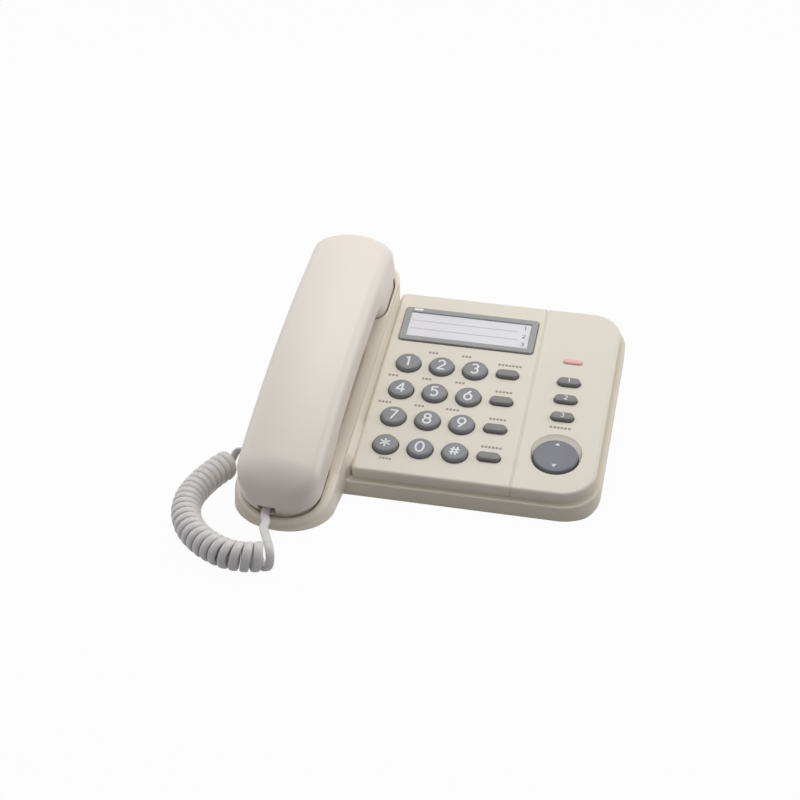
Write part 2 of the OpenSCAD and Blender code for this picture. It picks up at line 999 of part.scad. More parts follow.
module handset_bottom() {
  color(ivory)
    difference() {
      intersection() {
        union() {
          hs_body(0);
          ear_solid(0, -ear_depth, 2);
          ear_solid((hs_w - ear_w) / 2, 1, hs_split + hs_arch);
          mouth_solid(0, mouth_floor, hs_split + hs_arch);
        }
        within_arc(hs_split);
      }
      // hollow, round the two screw posts
      difference() {
        intersection() {
          union() {
            hs_body_floor();
            ear_solid(-wall, -ear_depth + wall, 2 - wall);
            ear_solid((hs_w - ear_w) / 2 - wall, -ear_depth + wall, hs_split + hs_arch + 1);
            mouth_solid(-wall, mouth_floor + wall, hs_split + hs_arch + 1);
          }
          within_arc(hs_split + 0.5);
        }
        for (q = hs_posts)
          on_pod(q[0], q[1], 0)
            cylinder(r = 4, h = 30);
      }
      for (q = hs_posts)
        on_pod(q[0], q[1], grip_lift + arch(q[1]) - 1)
          cylinder(r = 1.6, h = 12);
      for (q = hs_posts)
        on_pod(q[0], q[1], grip_lift + arch(q[1]) - 1)
          cylinder(r = 3, h = 2.6);
      handset_notch();
      // sound holes of the earpiece
      for (a = [0:60:300])
        on_pod(7 * cos(a), 178 + 7 * sin(a), -ear_depth - 1)
          cylinder(r = 1.2, h = 4);
      on_pod(0, 178, -ear_depth - 1)
        cylinder(r = 1.2, h = 4);
      // sound slots of the mouthpiece
      for (s = [-1:1])
        translate([mic_x + s * 4 - 0.7, mic_y - 4, mouth_floor - 1])
          cube([1.4, 8, 4]);
    }
}

module hs_body_floor() {
  difference() {
    on_pod(0, 0, -5)
      linear_extrude(height = 40)
        hs_plan(wall);
    within_arc(grip_lift + 2);
  }
}

ear_floor = -ear_depth + wall;

module earpiece_gasket() {
  color(dark)
    on_pod(0, 178, ear_floor)
      difference() {
        cylinder(r = 16, h = 1.2);
        translate([0, 0, -1])
          cylinder(r = 11.5, h = 4);
      }
}

module earpiece() {
  color(steel)
    on_pod(0, 178, ear_floor + 1.2)
      union() {
        cylinder(r = 16.5, h = 5);
        cylinder(r = 10, h = 8.5);
      }
}

mic_x = pod_x - 2;
mic_y = pod_y + 36;

module microphone_boot() {
  color(dark)
    translate([mic_x, mic_y, mouth_floor + wall])
      difference() {
        cylinder(r = 7.5, h = 7);
        translate([0, 0, 1.4])
          cylinder(r = 5, h = 8);
      }
}

module microphone() {
  color(steel)
    translate([mic_x, mic_y, mouth_floor + wall + 1.4])
      cylinder(r = 5, h = 5);
}

// Steel bar on the grip's arched floor.
module handset_weight() {
  color(steel)
    difference() {
      on_pod(-9, hs_mid - 31, 0)
        cube([18, 62, grip_lift + hs_arch + 8]);
      within_arc(grip_lift + 2);
    }
}

module handset_socket() {
  color(dark)
    difference() {
      intersection() {
        on_pod(hs_jack_u - 6, 14.2, -10)
          cube([12, 12.6, 19.8]);
        translate([-big / 2, -big / 2, mouth_floor + wall])
          cube([big, big, big]);
      }
      on_pod(hs_jack_u - 4, 13, hs_jack_w - 3.5)
        cube([8, 12, 7]);
    }
}

module handset_screws() {
  color(steel)
    for (q = hs_posts)
      on_pod(q[0], q[1], grip_lift + arch(q[1]))
        union() {
          translate([0, 0, -0.2])
            cylinder(r = 2.8, h = 1.8);
          translate([0, 0, 1])
            cylinder(r = 1.3, h = 9.6);
        }
}

// Curly cord -------------------------------------------------------------

// The curls' axis lies on the desk in three arcs, from the handset's end.
coil_z = curl_r + cord_d / 2 + 0.3;
arc_r = [25, 48, 100];
arc_len = [25, 64, 30];
arc_head = [
  214,
  214 - arc_len[0] / arc_r[0] * 180 / PI,
  214 - (arc_len[0] / arc_r[0] + arc_len[1] / arc_r[1]) * 180 / PI
];
function arc_pt(p, i, d) =
  let (h = arc_head[i], e = h - d / arc_r[i] * 180 / PI)
  p + arc_r[i] * [sin(h) - sin(e), cos(e) - cos(h)];
arc_0 = [-60.5, -132];
arc_1 = arc_pt(arc_0, 0, arc_len[0]);
arc_2 = arc_pt(arc_1, 1, arc_len[1]);
coil_len = arc_len[0] + arc_len[1] + arc_len[2];
function at_len(d) =
  d < arc_len[0] ? arc_pt(arc_0, 0, d)
  : d < arc_len[0] + arc_len[1] ? arc_pt(arc_1, 1, d - arc_len[0])
  : arc_pt(arc_2, 2, d - arc_len[0] - arc_len[1]);

// Smooth curve from b to c, between their neighbours a and d.
function spline(a, b, c, d, t) =
  0.5 * (2 * b + (c - a) * t + (2 * a - 5 * b + 4 * c - d) * t * t
  + (3 * b - a - 3 * c + d) * t * t * t);
function unit(v) = v / norm(v);

curl_steps = 8;
coil_steps = curls * curl_steps + 2;
// The tube starts on top of the coil and runs down its outer side.
function coil_pt(k) =
  let (
    d = coil_len * k / coil_steps,
    p = at_len(d),
    q = at_len(min(coil_len, d + 0.5)) - at_len(max(0, d - 0.5)),
    side = unit([-q[1], q[0]]),
    a = 360 * k / curl_steps
  )
  [p[0] + side[0] * curl_r * sin(a), p[1] + side[1] * curl_r * sin(a),
    coil_z + curl_r * cos(a)];

coil_pts = [for (k = [0:coil_steps]) coil_pt(k)];

// The tube's own direction at the coil's two ends, and a straight lead there.
lead = cord_d + 0.5;
pitch = coil_len * curl_steps / coil_steps;
turn_len = 6.2832 * curl_r;
function axis_dir(d) = unit(at_len(min(coil_len, d + 0.5)) - at_len(max(0, d - 0.5)));
dir_a = unit([
  -axis_dir(0)[1] * turn_len + axis_dir(0)[0] * pitch,
  axis_dir(0)[0] * turn_len + axis_dir(0)[1] * pitch,
  0
]);
dir_b = unit([
  axis_dir(coil_len)[0] * pitch,
  axis_dir(coil_len)[1] * pitch,
  -turn_len
]);
function tube_pt(k) =
  k < 0 ? coil_pts[0] - lead * dir_a
  : k > coil_steps ? coil_pts[coil_steps] + lead * dir_b
  : coil_pts[k];
function tube_dir(k) =
  k < 0 ? dir_a : k > coil_steps ? dir_b : unit(tube_pt(k + 1) - tube_pt(k - 1));

// Least distance between turns, less the cord's own thickness.
turn_gap = min([
  for (k = [0:coil_steps - curl_steps + 1])
    for (j = [curl_steps - 2:curl_steps + 2])
      if (k + j <= coil_steps) norm(coil_pts[k] - coil_pts[k + j])
]) - cord_d;

// Ring of n points round a centre c, in the plane across direction t.
function ring(c, t, r, n) =
  let (
    up = abs(t[2]) > 0.9 ? [1, 0, 0] : [0, 0, 1],
    a = unit(cross(t, up)),
    b = cross(a, t)
  )
  [for (i = [0:n - 1]) c + r * (a * cos(360 * i / n) + b * sin(360 * i / n))];

// Ring across the coil's tube, kept in step with the coil.
function coil_ring(k, n) =
  let (
    c = tube_pt(k),
    t = tube_dir(k),
    m = max(0, min(coil_steps, k)),
    p = at_len(coil_len * m / coil_steps),
    out = unit(coil_pts[m] - [p[0], p[1], coil_z]),
    b = unit(cross(t, out)),
    a = cross(b, t)
  )
  [for (i = [0:n - 1]) c + cord_d / 2 * (a * cos(360 * i / n) + b * sin(360 * i / n))];

// Closed tube through a list of rings of n points.
module skin(rings, n) {
  m = len(rings);
  points = [for (r = rings) for (p = r) p];
  sides = [
    for (k = [0:m - 2]) for (i = [0:n - 1]) for (h = [0:1])
      h == 0
        ? [k * n + i, (k + 1) * n + i, k * n + (i + 1) % n]
        : [k * n + (i + 1) % n, (k + 1) * n + i, (k + 1) * n + (i + 1) % n]
  ];
  ends = [for (i = [1:n - 2]) for (h = [0:1])
    h == 0 ? [0, i, i + 1] : [(m - 1) * n, (m - 1) * n + i + 1, (m - 1) * n + i]];
  polyhedron(points = points, faces = concat(sides, ends), convexity = 10);
}

// Tube of n sides along a smoothed route, square to dir_in and dir_out at its ends.
module tail(route, dir_in, dir_out, n) {
  last = len(route) - 1;
  per = 4;
  pts = [for (k = [0:last * per])
    let (i = min(last - 1, floor(k / per)), t = k / per - i)
    spline(route[max(0, i - 1)], route[i], route[i + 1], route[min(last, i + 2)], t)];
  m = len(pts) - 1;
  skin([for (k = [0:m])
    ring(pts[k], k == 0 ? dir_in : k == m ? dir_out : unit(pts[k + 1] - pts[k - 1]),
      cord_d / 2, n)], n);
}

// Point in cradle coordinates, as a point on the desk's axes.
function turned(x, y) =
  [x * cos(pod_turn) - y * sin(pod_turn), x * sin(pod_turn) + y * cos(pod_turn)];
function pod_pt(u, v, w) =
  let (q = turned(u, v * cos(pod_tilt) - w * sin(pod_tilt)))
  [pod_x + q[0], pod_y + q[1], pod_h + v * sin(pod_tilt) + w * cos(pod_tilt)];

// Point at the cradle's left wall, as a point on the desk's axes.
function wall_pt(dx, dy, z) =
  let (q = turned(-pod_w / 2 + dx, dy))
  [pod_x + q[0], pod_y + q[1], z];

plug_face_v = 5;
plug_face_x = -5.5;
tail_a = [
  pod_pt(hs_jack_u, plug_face_v, hs_jack_w),
  pod_pt(hs_jack_u, plug_face_v - 5, hs_jack_w),
  [-69, -108, 11],
  [-66.5, -118, 13.5],
  tube_pt(-1)
];
tail_b = [
  tube_pt(coil_steps + 1),
  [-107.5, -46, 2.2],
  [-105.5, -42, 4.3],
  wall_pt(plug_face_x - 3.5, jack_t, jack_z - 0.3),
  wall_pt(plug_face_x, jack_t, jack_z)
];

module handset_plug() {
  color([0.8, 0.8, 0.8])
    union() {
      on_pod(hs_jack_u - 3.8, 11, hs_jack_w - 3.2)
        cube([7.6, 14, 6.4]);
      on_pod(hs_jack_u - 2.9, plug_face_v, hs_jack_w - 2.5)
        cube([5.8, 7, 5]);
    }
}

module cord_handset_tail() {
  color(cord_grey)
    tail(tail_a, unit(tail_a[1] - tail_a[0]), dir_a, 8);
}

module cord_curls() {
  color(cord_grey)
    skin([for (k = [-1:coil_steps + 1]) coil_ring(k, 6)], 6);
}

module cord_base_tail() {
  color(cord_grey)
    tail(tail_b, dir_b, [cos(pod_turn), sin(pod_turn), 0], 8);
}

module base_plug() {
  color([0.8, 0.8, 0.8])
    union() {
      on_wall(-1, jack_t - 3.8, jack_z - 3.2)
        cube([wall + 12.5, 7.6, 6.4]);
      on_wall(plug_face_x, jack_t - 2.9, jack_z - 2.5)
        cube([6, 5.8, 5]);
    }
}

echo(coil_length = coil_len, pitch = pitch, least_gap_between_turns = turn_gap);

upper_case();
lower_case();
rubber_feet();
case_screws();
key_mat();
key_board();
board_screws();
main_board();
ribbon_cable();
speech_chip();
capacitors();
ringer_disc();
lamp();
lamp_window();
number_card();
card_frame();
card_window();
base_socket();
line_socket();
ringer_switch();
ringer_knob();
dial_switch();
dial_knob();
hook_switch();
hook_plunger();
hook_spring();
key_1();
key_2();
key_3();
key_4();
key_5();
key_6();
key_7();
key_8();
key_9();
key_star();
key_0();
key_hash();
function_key_1();
function_key_2();
function_key_3();
function_key_4();
memory_key_1();
memory_key_2();
memory_key_3();
volume_key();
handset_top();
handset_bottom();
earpiece();
earpiece_gasket();
microphone();
microphone_boot();
handset_weight();
handset_socket();
handset_screws();
handset_plug();
cord_handset_tail();
cord_curls();
cord_base_tail();
base_plug();
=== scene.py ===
# %% [markdown]
# # A corded desk telephone
#
# This lesson dresses a telephone that already exists as a plain solid model: an ivory
# case with a sloping key deck, a cradle with its handset, and a curly cord. The solid
# model is the fixed frame. Each cell adds one piece in the frame's own place, so that
# the handset still lifts and the keys still press when the model is posed.

# %% Load the frame
import json
import math

import bmesh
import bpy
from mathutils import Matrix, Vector
from mathutils.geometry import tessellate_polygon


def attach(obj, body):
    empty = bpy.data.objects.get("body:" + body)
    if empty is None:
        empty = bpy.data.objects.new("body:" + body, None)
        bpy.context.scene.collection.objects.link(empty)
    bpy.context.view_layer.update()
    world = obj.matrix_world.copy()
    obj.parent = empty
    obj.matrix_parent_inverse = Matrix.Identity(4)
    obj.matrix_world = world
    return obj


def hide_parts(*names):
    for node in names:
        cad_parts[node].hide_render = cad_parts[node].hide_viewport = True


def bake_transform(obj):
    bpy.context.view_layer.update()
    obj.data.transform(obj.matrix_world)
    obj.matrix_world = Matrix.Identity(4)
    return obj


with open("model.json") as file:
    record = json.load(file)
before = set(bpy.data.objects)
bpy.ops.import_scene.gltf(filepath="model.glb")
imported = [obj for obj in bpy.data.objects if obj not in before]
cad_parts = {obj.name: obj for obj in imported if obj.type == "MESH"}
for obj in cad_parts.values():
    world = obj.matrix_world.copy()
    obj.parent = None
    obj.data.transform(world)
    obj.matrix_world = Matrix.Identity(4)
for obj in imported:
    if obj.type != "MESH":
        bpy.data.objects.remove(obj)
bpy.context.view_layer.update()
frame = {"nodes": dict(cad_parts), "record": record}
nodes = frame["nodes"]
MM = 0.001

# %% [markdown]
# ## The places everything is measured from
#
# The key deck and the cradle both slope, by different angles. A maker lays out keys on
# the deck and the handset on the cradle's rim, so two small functions turn deck
# measures (right, up the slope, out of the plate) and rim measures into points in
# space. Everything is written in millimetres and turned into metres once, at the end.

# %% Deck and cradle measures
CASE_W, CASE_D = 190.0, 196.0
DECK_W, DECK_L = 129.0, 145.5
DECK_X, DECK_Y, DECK_H = -37.0, -55.0, 16.8
DECK_TILT = math.radians(14)
DECK_DROP = 6.5  # from the plate's face to the lower case
BACK_Y = DECK_Y + DECK_L * math.cos(DECK_TILT) + 2.8

POD_W = 53.6
POD_TURN = math.radians(-1.4)
POD_TILT = math.radians(17.5)
POD_X = -CASE_W / 2 + POD_W / 2 * (1 + math.sin(POD_TURN))
POD_Y, POD_H = -98.0, 5.6
POD_LEN = (CASE_D - POD_W) / math.cos(POD_TURN) + POD_W


def deck(u, v, w=0.0):
    """Point of the key deck: right, up the slope, out of the plate."""
    return Vector((
        DECK_X + u,
        DECK_Y + v * math.cos(DECK_TILT) - w * math.sin(DECK_TILT),
        DECK_H + v * math.sin(DECK_TILT) + w * math.cos(DECK_TILT),
    ))


def turned(x, y):
    """A step in the cradle's plan, turned with the cradle."""
    c, s = math.cos(POD_TURN), math.sin(POD_TURN)
    return x * c - y * s, x * s + y * c


def rim(u, v, w=0.0):
    """Point of the cradle's rim: right, up the slope, out of the rim."""
    level = v * math.cos(POD_TILT) - w * math.sin(POD_TILT)
    x, y = turned(u, level)
    height = v * math.sin(POD_TILT) + w * math.cos(POD_TILT)
    return Vector((POD_X + x, POD_Y + y, POD_H + height))


def plan(x, y, z):
    """Point over the cradle's level plan."""
    px, py = turned(x, y)
    return Vector((POD_X + px, POD_Y + py, z))


def deck_height(y, w=0.0):
    """Height of the deck's plane over the desk at depth y."""
    return DECK_H + (y - DECK_Y) * math.tan(DECK_TILT) + w / math.cos(DECK_TILT)


print("deck corner", [round(c, 1) for c in deck(DECK_W, DECK_L)])

# %% [markdown]
# ## Camera, floor and light
#
# The camera comes first, because it decides what has to be right. It looks down on the
# telephone from the front right with a telephoto lens, so the case hardly tapers.

# %% Camera
CAMERA_PLACE = (143.0, -921.2, 566.0)
CAMERA_TURN = (60.174, -1.612, 11.031)  # degrees
SENSOR, LENS = 36, 88.4
camera_data = bpy.data.cameras.new("camera")
camera = bpy.data.objects.new("camera", camera_data)
bpy.context.scene.collection.objects.link(camera)
camera.location = Vector(CAMERA_PLACE) * MM
camera.rotation_euler = [math.radians(a) for a in CAMERA_TURN]
camera_data.sensor_width = SENSOR
camera_data.lens = LENS
camera_data.clip_end = 20  # metres
bpy.context.scene.camera = camera
bpy.context.scene.view_settings.view_transform = "Standard"
print("camera", [round(c, 3) for c in camera.location], "lens", camera_data.lens)

# %% [markdown]
# ## Light
#
# Small product studios hang one large soft lamp over the table, a little behind the
# object, and let pale walls fill the rest. The tops are then bright, the walls that
# face the camera fall into shade, and the edges between them read clearly.

# %% Lamps
scene = bpy.context.scene


def soft_lamp(name, place, aim, size, watts, tint=(1, 1, 1)):
    """Square area lamp at a place, facing a point, both in metres."""
    data = bpy.data.lights.new(name, "AREA")
    data.shape = "SQUARE"
    data.size = size
    data.energy = watts
    data.color = tint
    lamp = bpy.data.objects.new(name, data)
    lamp.location = place
    lamp.rotation_euler = (Vector(aim) - Vector(place)).to_track_quat("-Z", "Y").to_euler()
    scene.collection.objects.link(lamp)
    return lamp


CENTRE = (0.0, 0.0, 0.03)
soft_lamp("lamp_overhead", (-0.05, 0.24, 0.74), CENTRE, 0.5, 2.4, (1.0, 0.985, 0.96))
soft_lamp("lamp_left", (-1.15, 0.15, 0.65), CENTRE, 0.8, 3.4, (1.0, 0.98, 0.96))
soft_lamp("lamp_right", (0.9, 0.42, 0.6), CENTRE, 0.9, 4.8, (1.0, 0.975, 0.94))

# %% [markdown]
# The world is a pale room for the light it gives, and plain white for whatever looks
# straight at it, in a mirror or through glass. A Light Path node tells these rays apart.
# The floor needs the same switch, so it is a function that mixes two shaders.

# %% The world
WHITE = (1, 1, 1, 1)
ROOM_COLOUR, ROOM_STRENGTH = (0.93, 0.95, 1.0, 1), 0.3


def flat_shader(tree, kind, colour, strength=None):
    """A Background, Emission or Diffuse node with its colour set."""
    node = tree.nodes.new(kind)
    node.inputs["Color"].default_value = colour
    if strength is not None:
        node.inputs["Strength"].default_value = strength
    return node.outputs[0]


def math_node(tree, operation, a, b):
    """Math node over two outputs or numbers."""
    node = tree.nodes.new("ShaderNodeMath")
    node.operation = operation
    for value, slot in ((a, node.inputs[0]), (b, node.inputs[1])):
        if isinstance(value, (int, float)):
            slot.default_value = value
        else:
            tree.links.new(value, slot)
    return node.outputs[0]


def switch_when_seen(tree, output_kind, lit, seen, share):
    """Shows `seen` to camera, mirror and glass rays by a share, and `lit` to the rest."""
    tree.nodes.clear()
    path = tree.nodes.new("ShaderNodeLightPath").outputs
    looks = math_node(tree, "MAXIMUM", path["Is Camera Ray"], path["Is Glossy Ray"])
    looks = math_node(tree, "MAXIMUM", looks, path["Is Transmission Ray"])
    mix = tree.nodes.new("ShaderNodeMixShader")
    tree.links.new(math_node(tree, "MULTIPLY", looks, share), mix.inputs["Fac"])
    tree.links.new(flat_shader(tree, *lit), mix.inputs[1])
    tree.links.new(flat_shader(tree, *seen), mix.inputs[2])
    tree.links.new(mix.outputs[0], tree.nodes.new(output_kind).inputs["Surface"])
    print(output_kind, "white to", round(share * 100), "% where it is seen")


world = bpy.data.worlds.new("studio")
scene.world = world
world.use_nodes = True
switch_when_seen(world.node_tree, "ShaderNodeOutputWorld",
                 ("ShaderNodeBackground", ROOM_COLOUR, ROOM_STRENGTH),
                 ("ShaderNodeBackground", WHITE, 1.0), 1.0)

# %% [markdown]
# ## Floor
#
# The sweep under the object is white paper. It is lit like everything else, but for
# what looks straight at it most of its shade is replaced by plain white, which leaves
# only a faint contact shadow.

# %% Floor
FLOOR_HALF = 4.0  # metres
FLOOR_GREY, FLOOR_WHITE_SHARE = 0.4, 0.97
floor_mesh = bpy.data.meshes.new("floor")
floor_mesh.from_pydata([(x * FLOOR_HALF, y * FLOOR_HALF, 0) for x, y in
                        ((-1, -1), (1, -1), (1, 1), (-1, 1))], [], [(0, 1, 2, 3)])
floor = bpy.data.objects.new("floor", floor_mesh)
scene.collection.objects.link(floor)
paper = bpy.data.materials.new("paper_sweep")
paper.use_nodes = True
switch_when_seen(paper.node_tree, "ShaderNodeOutputMaterial",
                 ("ShaderNodeBsdfDiffuse", (FLOOR_GREY, FLOOR_GREY, FLOOR_GREY, 1)),
                 ("ShaderNodeEmission", WHITE, 1.0), FLOOR_WHITE_SHARE)
floor.data.materials.append(paper)
print("floor", 2 * FLOOR_HALF, "m wide")

# %% [markdown]
# ## Building skins
#
# Most of this object is moulded plastic: flat faces joined by small rounded edges. Such
# shapes are easy to make from rings of points. A ring is an outline, the next ring is
# the same outline moved in and up a little, and quads join the two. A quarter circle of
# such steps is a rounded edge. The class below collects rings, flat fills with holes
# and quads, and turns them into one Blender object with smooth normals that keep the
# flat faces flat.

# %% The skin class
class Skin:
    """Points and faces of one piece, collected in millimetres."""

    def __init__(self):
        self.points = []
        self.faces = []

    def ring(self, points):
        start = len(self.points)
        self.points.extend(Vector(p) for p in points)
        return list(range(start, len(self.points)))

    def join(self, a, b, closed=True):
        """Quads between two rings of as many points."""
        count = len(a)
        for i in range(count if closed else count - 1):
            j = (i + 1) % count
            self.faces.append((a[i], a[j], b[j], b[i]))

    def stack(self, rings, closed=True):
        """Several rings joined in order; gives back their indices."""
        made = [self.ring(r) for r in rings]
        for a, b in zip(made, made[1:]):
            self.join(a, b, closed)
        return made

    def fill(self, loops):
        """Flat face over an outline with holes."""
        flat = [i for loop in loops for i in loop]
        for tri in tessellate_polygon([[self.points[i] for i in loop] for loop in loops]):
            self.faces.append(tuple(flat[k] for k in tri))

    def capped(self, rings):
        """A stack whose two ends are filled, flat or not."""
        made = self.stack(rings)
        self.fill([made[0]])
        self.fill([made[-1]])

    def prism(self, rings):
        """A stack that ends in one plain face at each end."""
        made = self.stack(rings)
        self.faces += [tuple(made[0]), tuple(made[-1])]

    def box(self, place, low, high):
        """A closed box. place(x, y, z) lays its corners on a plane or a slope."""
        (x0, y0, z0), (x1, y1, z1) = low, high
        self.prism([[place(x, y, z) for x, y in ((x0, y0), (x1, y0), (x1, y1), (x0, y1))]
                    for z in (z0, z1)])

    def drum(self, place, x, y, radius, z0, z1):
        """A closed cylinder, square to the plane that place() lays it on."""
        self.prism([[place(px, py, z) for px, py in round_hole(x, y, radius, 28)]
                    for z in (z0, z1)])

    def build(self, name, smooth=35):
        """The piece as an object, in metres, with normals turned outwards."""
        mesh = bpy.data.meshes.new(name)
        mesh.from_pydata([p * MM for p in self.points], [], self.faces)
        bm = bmesh.new()
        bm.from_mesh(mesh)
        bmesh.ops.remove_doubles(bm, verts=bm.verts, dist=1e-7)
        bmesh.ops.dissolve_degenerate(bm, edges=bm.edges, dist=1e-8)
        bmesh.ops.recalc_face_normals(bm, faces=bm.faces)
        bm.to_mesh(mesh)
        bm.free()
        piece = bpy.data.objects.new(name, mesh)
        scene.collection.objects.link(piece)
        mesh.shade_smooth()
        mesh.set_sharp_from_angle(angle=math.radians(smooth))
        return piece


def dress(piece, finish, body, slot, *replaced):
    """Gives a piece its finish and its moving body, and hides the nodes it stands for. The slot is
    not used.
    """
    piece.data.materials.append(finish)
    if replaced:
        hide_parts(*replaced)
    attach(piece, body)


def keep_flats_flat(piece):
    """Weights the normals by face size, so that rounded edges don't bend the flats."""
    weighted = piece.modifiers.new("flat_normals", "WEIGHTED_NORMAL")
    weighted.keep_sharp = True
    weighted.weight = 100


def rounded(x0, y0, x1, y1, radii, steps=8):
    """Outline of a rectangle with rounded corners, front left first, anticlockwise.

    A radius is a number, or a pair where the corner is an ellipse."""
    places = [(x0, y0, 1, 1, 180), (x1, y0, -1, 1, 270), (x1, y1, -1, -1, 0), (x0, y1, 1, -1, 90)]
    outline = []
    for (x, y, sx, sy, start), radius in zip(places, radii):
        rx, ry = radius if isinstance(radius, tuple) else (radius, radius)
        rx, ry = max(rx, 0.02), max(ry, 0.02)
        for i in range(steps + 1):
            a = math.radians(start + 90 * i / steps)
            outline.append((x + sx * rx + rx * math.cos(a), y + sy * ry + ry * math.sin(a)))
    return outline


def round_hole(x, y, radius, steps=40):
    """Outline of a circle."""
    angles = [2 * math.pi * i / steps for i in range(steps)]
    return [(x + radius * math.cos(a), y + radius * math.sin(a)) for a in angles]


def pill(x, y, length, width, steps=12):
    """Outline of a bar with half-round ends."""
    r = width / 2
    return rounded(x - length / 2, y - r, x + length / 2, y + r, [r - 0.01] * 4, steps)


def quarter(steps=6):
    """Sine and cosine along a quarter turn, for rounded edges."""
    angles = [math.pi / 2 * i / steps for i in range(steps + 1)]
    return [(math.sin(a), math.cos(a)) for a in angles]


print("outline of a key opening:", len(pill(0, 0, 14, 7)), "points")

# %% [markdown]
# ## Finishes
#
# Moulded plastic is never one flat colour. Its mould is spark-eroded, which leaves a fine
# grain, the pigment clouds very slightly and handling polishes it unevenly. One node group
# makes all of that and also paints shade into corners and crevices, and every plastic here
# uses it with its own numbers. It puts out a colour, a roughness and a height for the Bump node.

# %% The moulded skin group
SKIN_INPUTS = {"Colour": (0.7, 0.66, 0.58, 1), "Cloud": 0.03, "Roughness": 0.4,
               "Polish": 0.06, "Grain": 1800.0, "Dust": 0.1}
CLOUD_SCALE, SPECK_SCALE, WEAR_SCALE = 22, 900, 60
SPECK_SHARE = 0.6
# painted shade: the brown that corners and crevices darken towards, and how far the AO node looks
# for them
CORNER_SHADE_COLOUR, CORNER_SHADE_REACH = (0.22, 0.18, 0.13, 1), 0.004  # the reach is in metres


def make_moulded_skin():
    """The node group: a colour, a roughness and a height from six inputs."""
    group = bpy.data.node_groups.new("moulded_skin", "ShaderNodeTree")

    def socket(name, way, value=None):
        kind = "NodeSocketColor" if name == "Colour" else "NodeSocketFloat"
        made = group.interface.new_socket(name=name, in_out=way, socket_type=kind)
        if value is not None:
            made.default_value = value

    for name, value in SKIN_INPUTS.items():
        socket(name, "INPUT", value)
    for name in ("Colour", "Roughness", "Height"):
        socket(name, "OUTPUT")
    add = group.nodes.new
    link = group.links.new
    inside = add("NodeGroupInput")
    outside = add("NodeGroupOutput")
    place = add("ShaderNodeTexCoord")

    def noise(scale, detail):
        node = add("ShaderNodeTexNoise")
        node.inputs["Detail"].default_value = detail
        if isinstance(scale, (int, float)):
            node.inputs["Scale"].default_value = scale
        else:
            link(scale, node.inputs["Scale"])
        link(place.outputs["Object"], node.inputs["Vector"])
        return node.outputs["Fac"]

    def sums(operation, a, b):
        return math_node(group, operation, a, b)

    cloud = sums("SUBTRACT", noise(CLOUD_SCALE, 4), 0.5)
    speck = sums("SUBTRACT", noise(SPECK_SCALE, 2), 0.5)
    speck_depth = sums("MULTIPLY", inside.outputs["Cloud"], SPECK_SHARE)
    shade = sums("ADD", sums("MULTIPLY", cloud, inside.outputs["Cloud"]),
                 sums("MULTIPLY", speck, speck_depth))
    bright = add("ShaderNodeHueSaturation")
    link(sums("ADD", 1.0, shade), bright.inputs["Value"])
    link(inside.outputs["Colour"], bright.inputs["Color"])
    # painted shade: corners and crevices, where little of the room is seen, are darkened towards a
    # brown
    corner = add("ShaderNodeAmbientOcclusion")
    corner.samples = 6
    corner.inputs["Distance"].default_value = CORNER_SHADE_REACH
    hidden = sums("SUBTRACT", 1.0, corner.outputs["AO"])
    shaded_corners = add("ShaderNodeMix")
    shaded_corners.data_type = "RGBA"
    shaded_corners.inputs["B"].default_value = CORNER_SHADE_COLOUR
    link(sums("MULTIPLY", hidden, inside.outputs["Dust"]), shaded_corners.inputs["Factor"])
    link(bright.outputs["Color"], shaded_corners.inputs["A"])
    link(shaded_corners.outputs["Result"], outside.inputs["Colour"])
    worn = sums("MULTIPLY", sums("SUBTRACT", noise(WEAR_SCALE, 5), 0.5), inside.outputs["Polish"])
    link(sums("ADD", inside.outputs["Roughness"], sums("MULTIPLY", worn, 2.0)),
         outside.inputs["Roughness"])
    link(noise(inside.outputs["Grain"], 2), outside.inputs["Height"])
    return group


MOULDED = make_moulded_skin()
print(MOULDED.name, "with", len(MOULDED.nodes), "nodes")

# %% [markdown]
# A finish is a Principled shader that takes its colour, roughness and relief from that
# group. Its colour is given as on a paint card, from 0 to 255.

# %% A finish from the group
RELIEF_DEPTH = 0.0002  # metres


def srgb(red, green, blue):
    """A colour as a paint card gives it, 0 to 255, turned into linear light."""
    def linear(c):
        c /= 255
        return c / 12.92 if c <= 0.04045 else ((c + 0.055) / 1.055) ** 2.4
    return (linear(red), linear(green), linear(blue), 1)


# corner_shade sets how strongly painted shade darkens the corners
def moulded(name, colour, roughness=0.4, cloud=0.03, polish=0.06, grain=1800.0,
            bump=0.04, corner_shade=0.1, **sockets):
    """Plastic, rubber or paint: the moulded skin group under a Principled shader."""
    made = bpy.data.materials.new(name)
    made.use_nodes = True
    tree = made.node_tree
    shader = tree.nodes["Principled BSDF"]
    skin = tree.nodes.new("ShaderNodeGroup")
    skin.node_tree = MOULDED
    values = {"Colour": colour, "Cloud": cloud, "Roughness": roughness, "Polish": polish,
              "Grain": grain, "Dust": corner_shade}
    for key, value in values.items():
        skin.inputs[key].default_value = value
    relief = tree.nodes.new("ShaderNodeBump")
    relief.inputs["Strength"].default_value = bump
    relief.inputs["Distance"].default_value = RELIEF_DEPTH
    tree.links.new(skin.outputs["Colour"], shader.inputs["Base Color"])
    tree.links.new(skin.outputs["Roughness"], shader.inputs["Roughness"])
    tree.links.new(skin.outputs["Height"], relief.inputs["Height"])
    tree.links.new(relief.outputs["Normal"], shader.inputs["Normal"])
    for key, value in sockets.items():
        shader.inputs[key.replace("_", " ")].default_value = value
    return made


print("ivory in linear light", [round(c, 3) for c in srgb(231, 225, 211)])

# %% [markdown]
# ### The finishes of this telephone
#
# The case is ivory ABS with a satin grain, the handset a paler, pinker batch of it. The
# keys are grey and slightly glossier where fingers polish them.

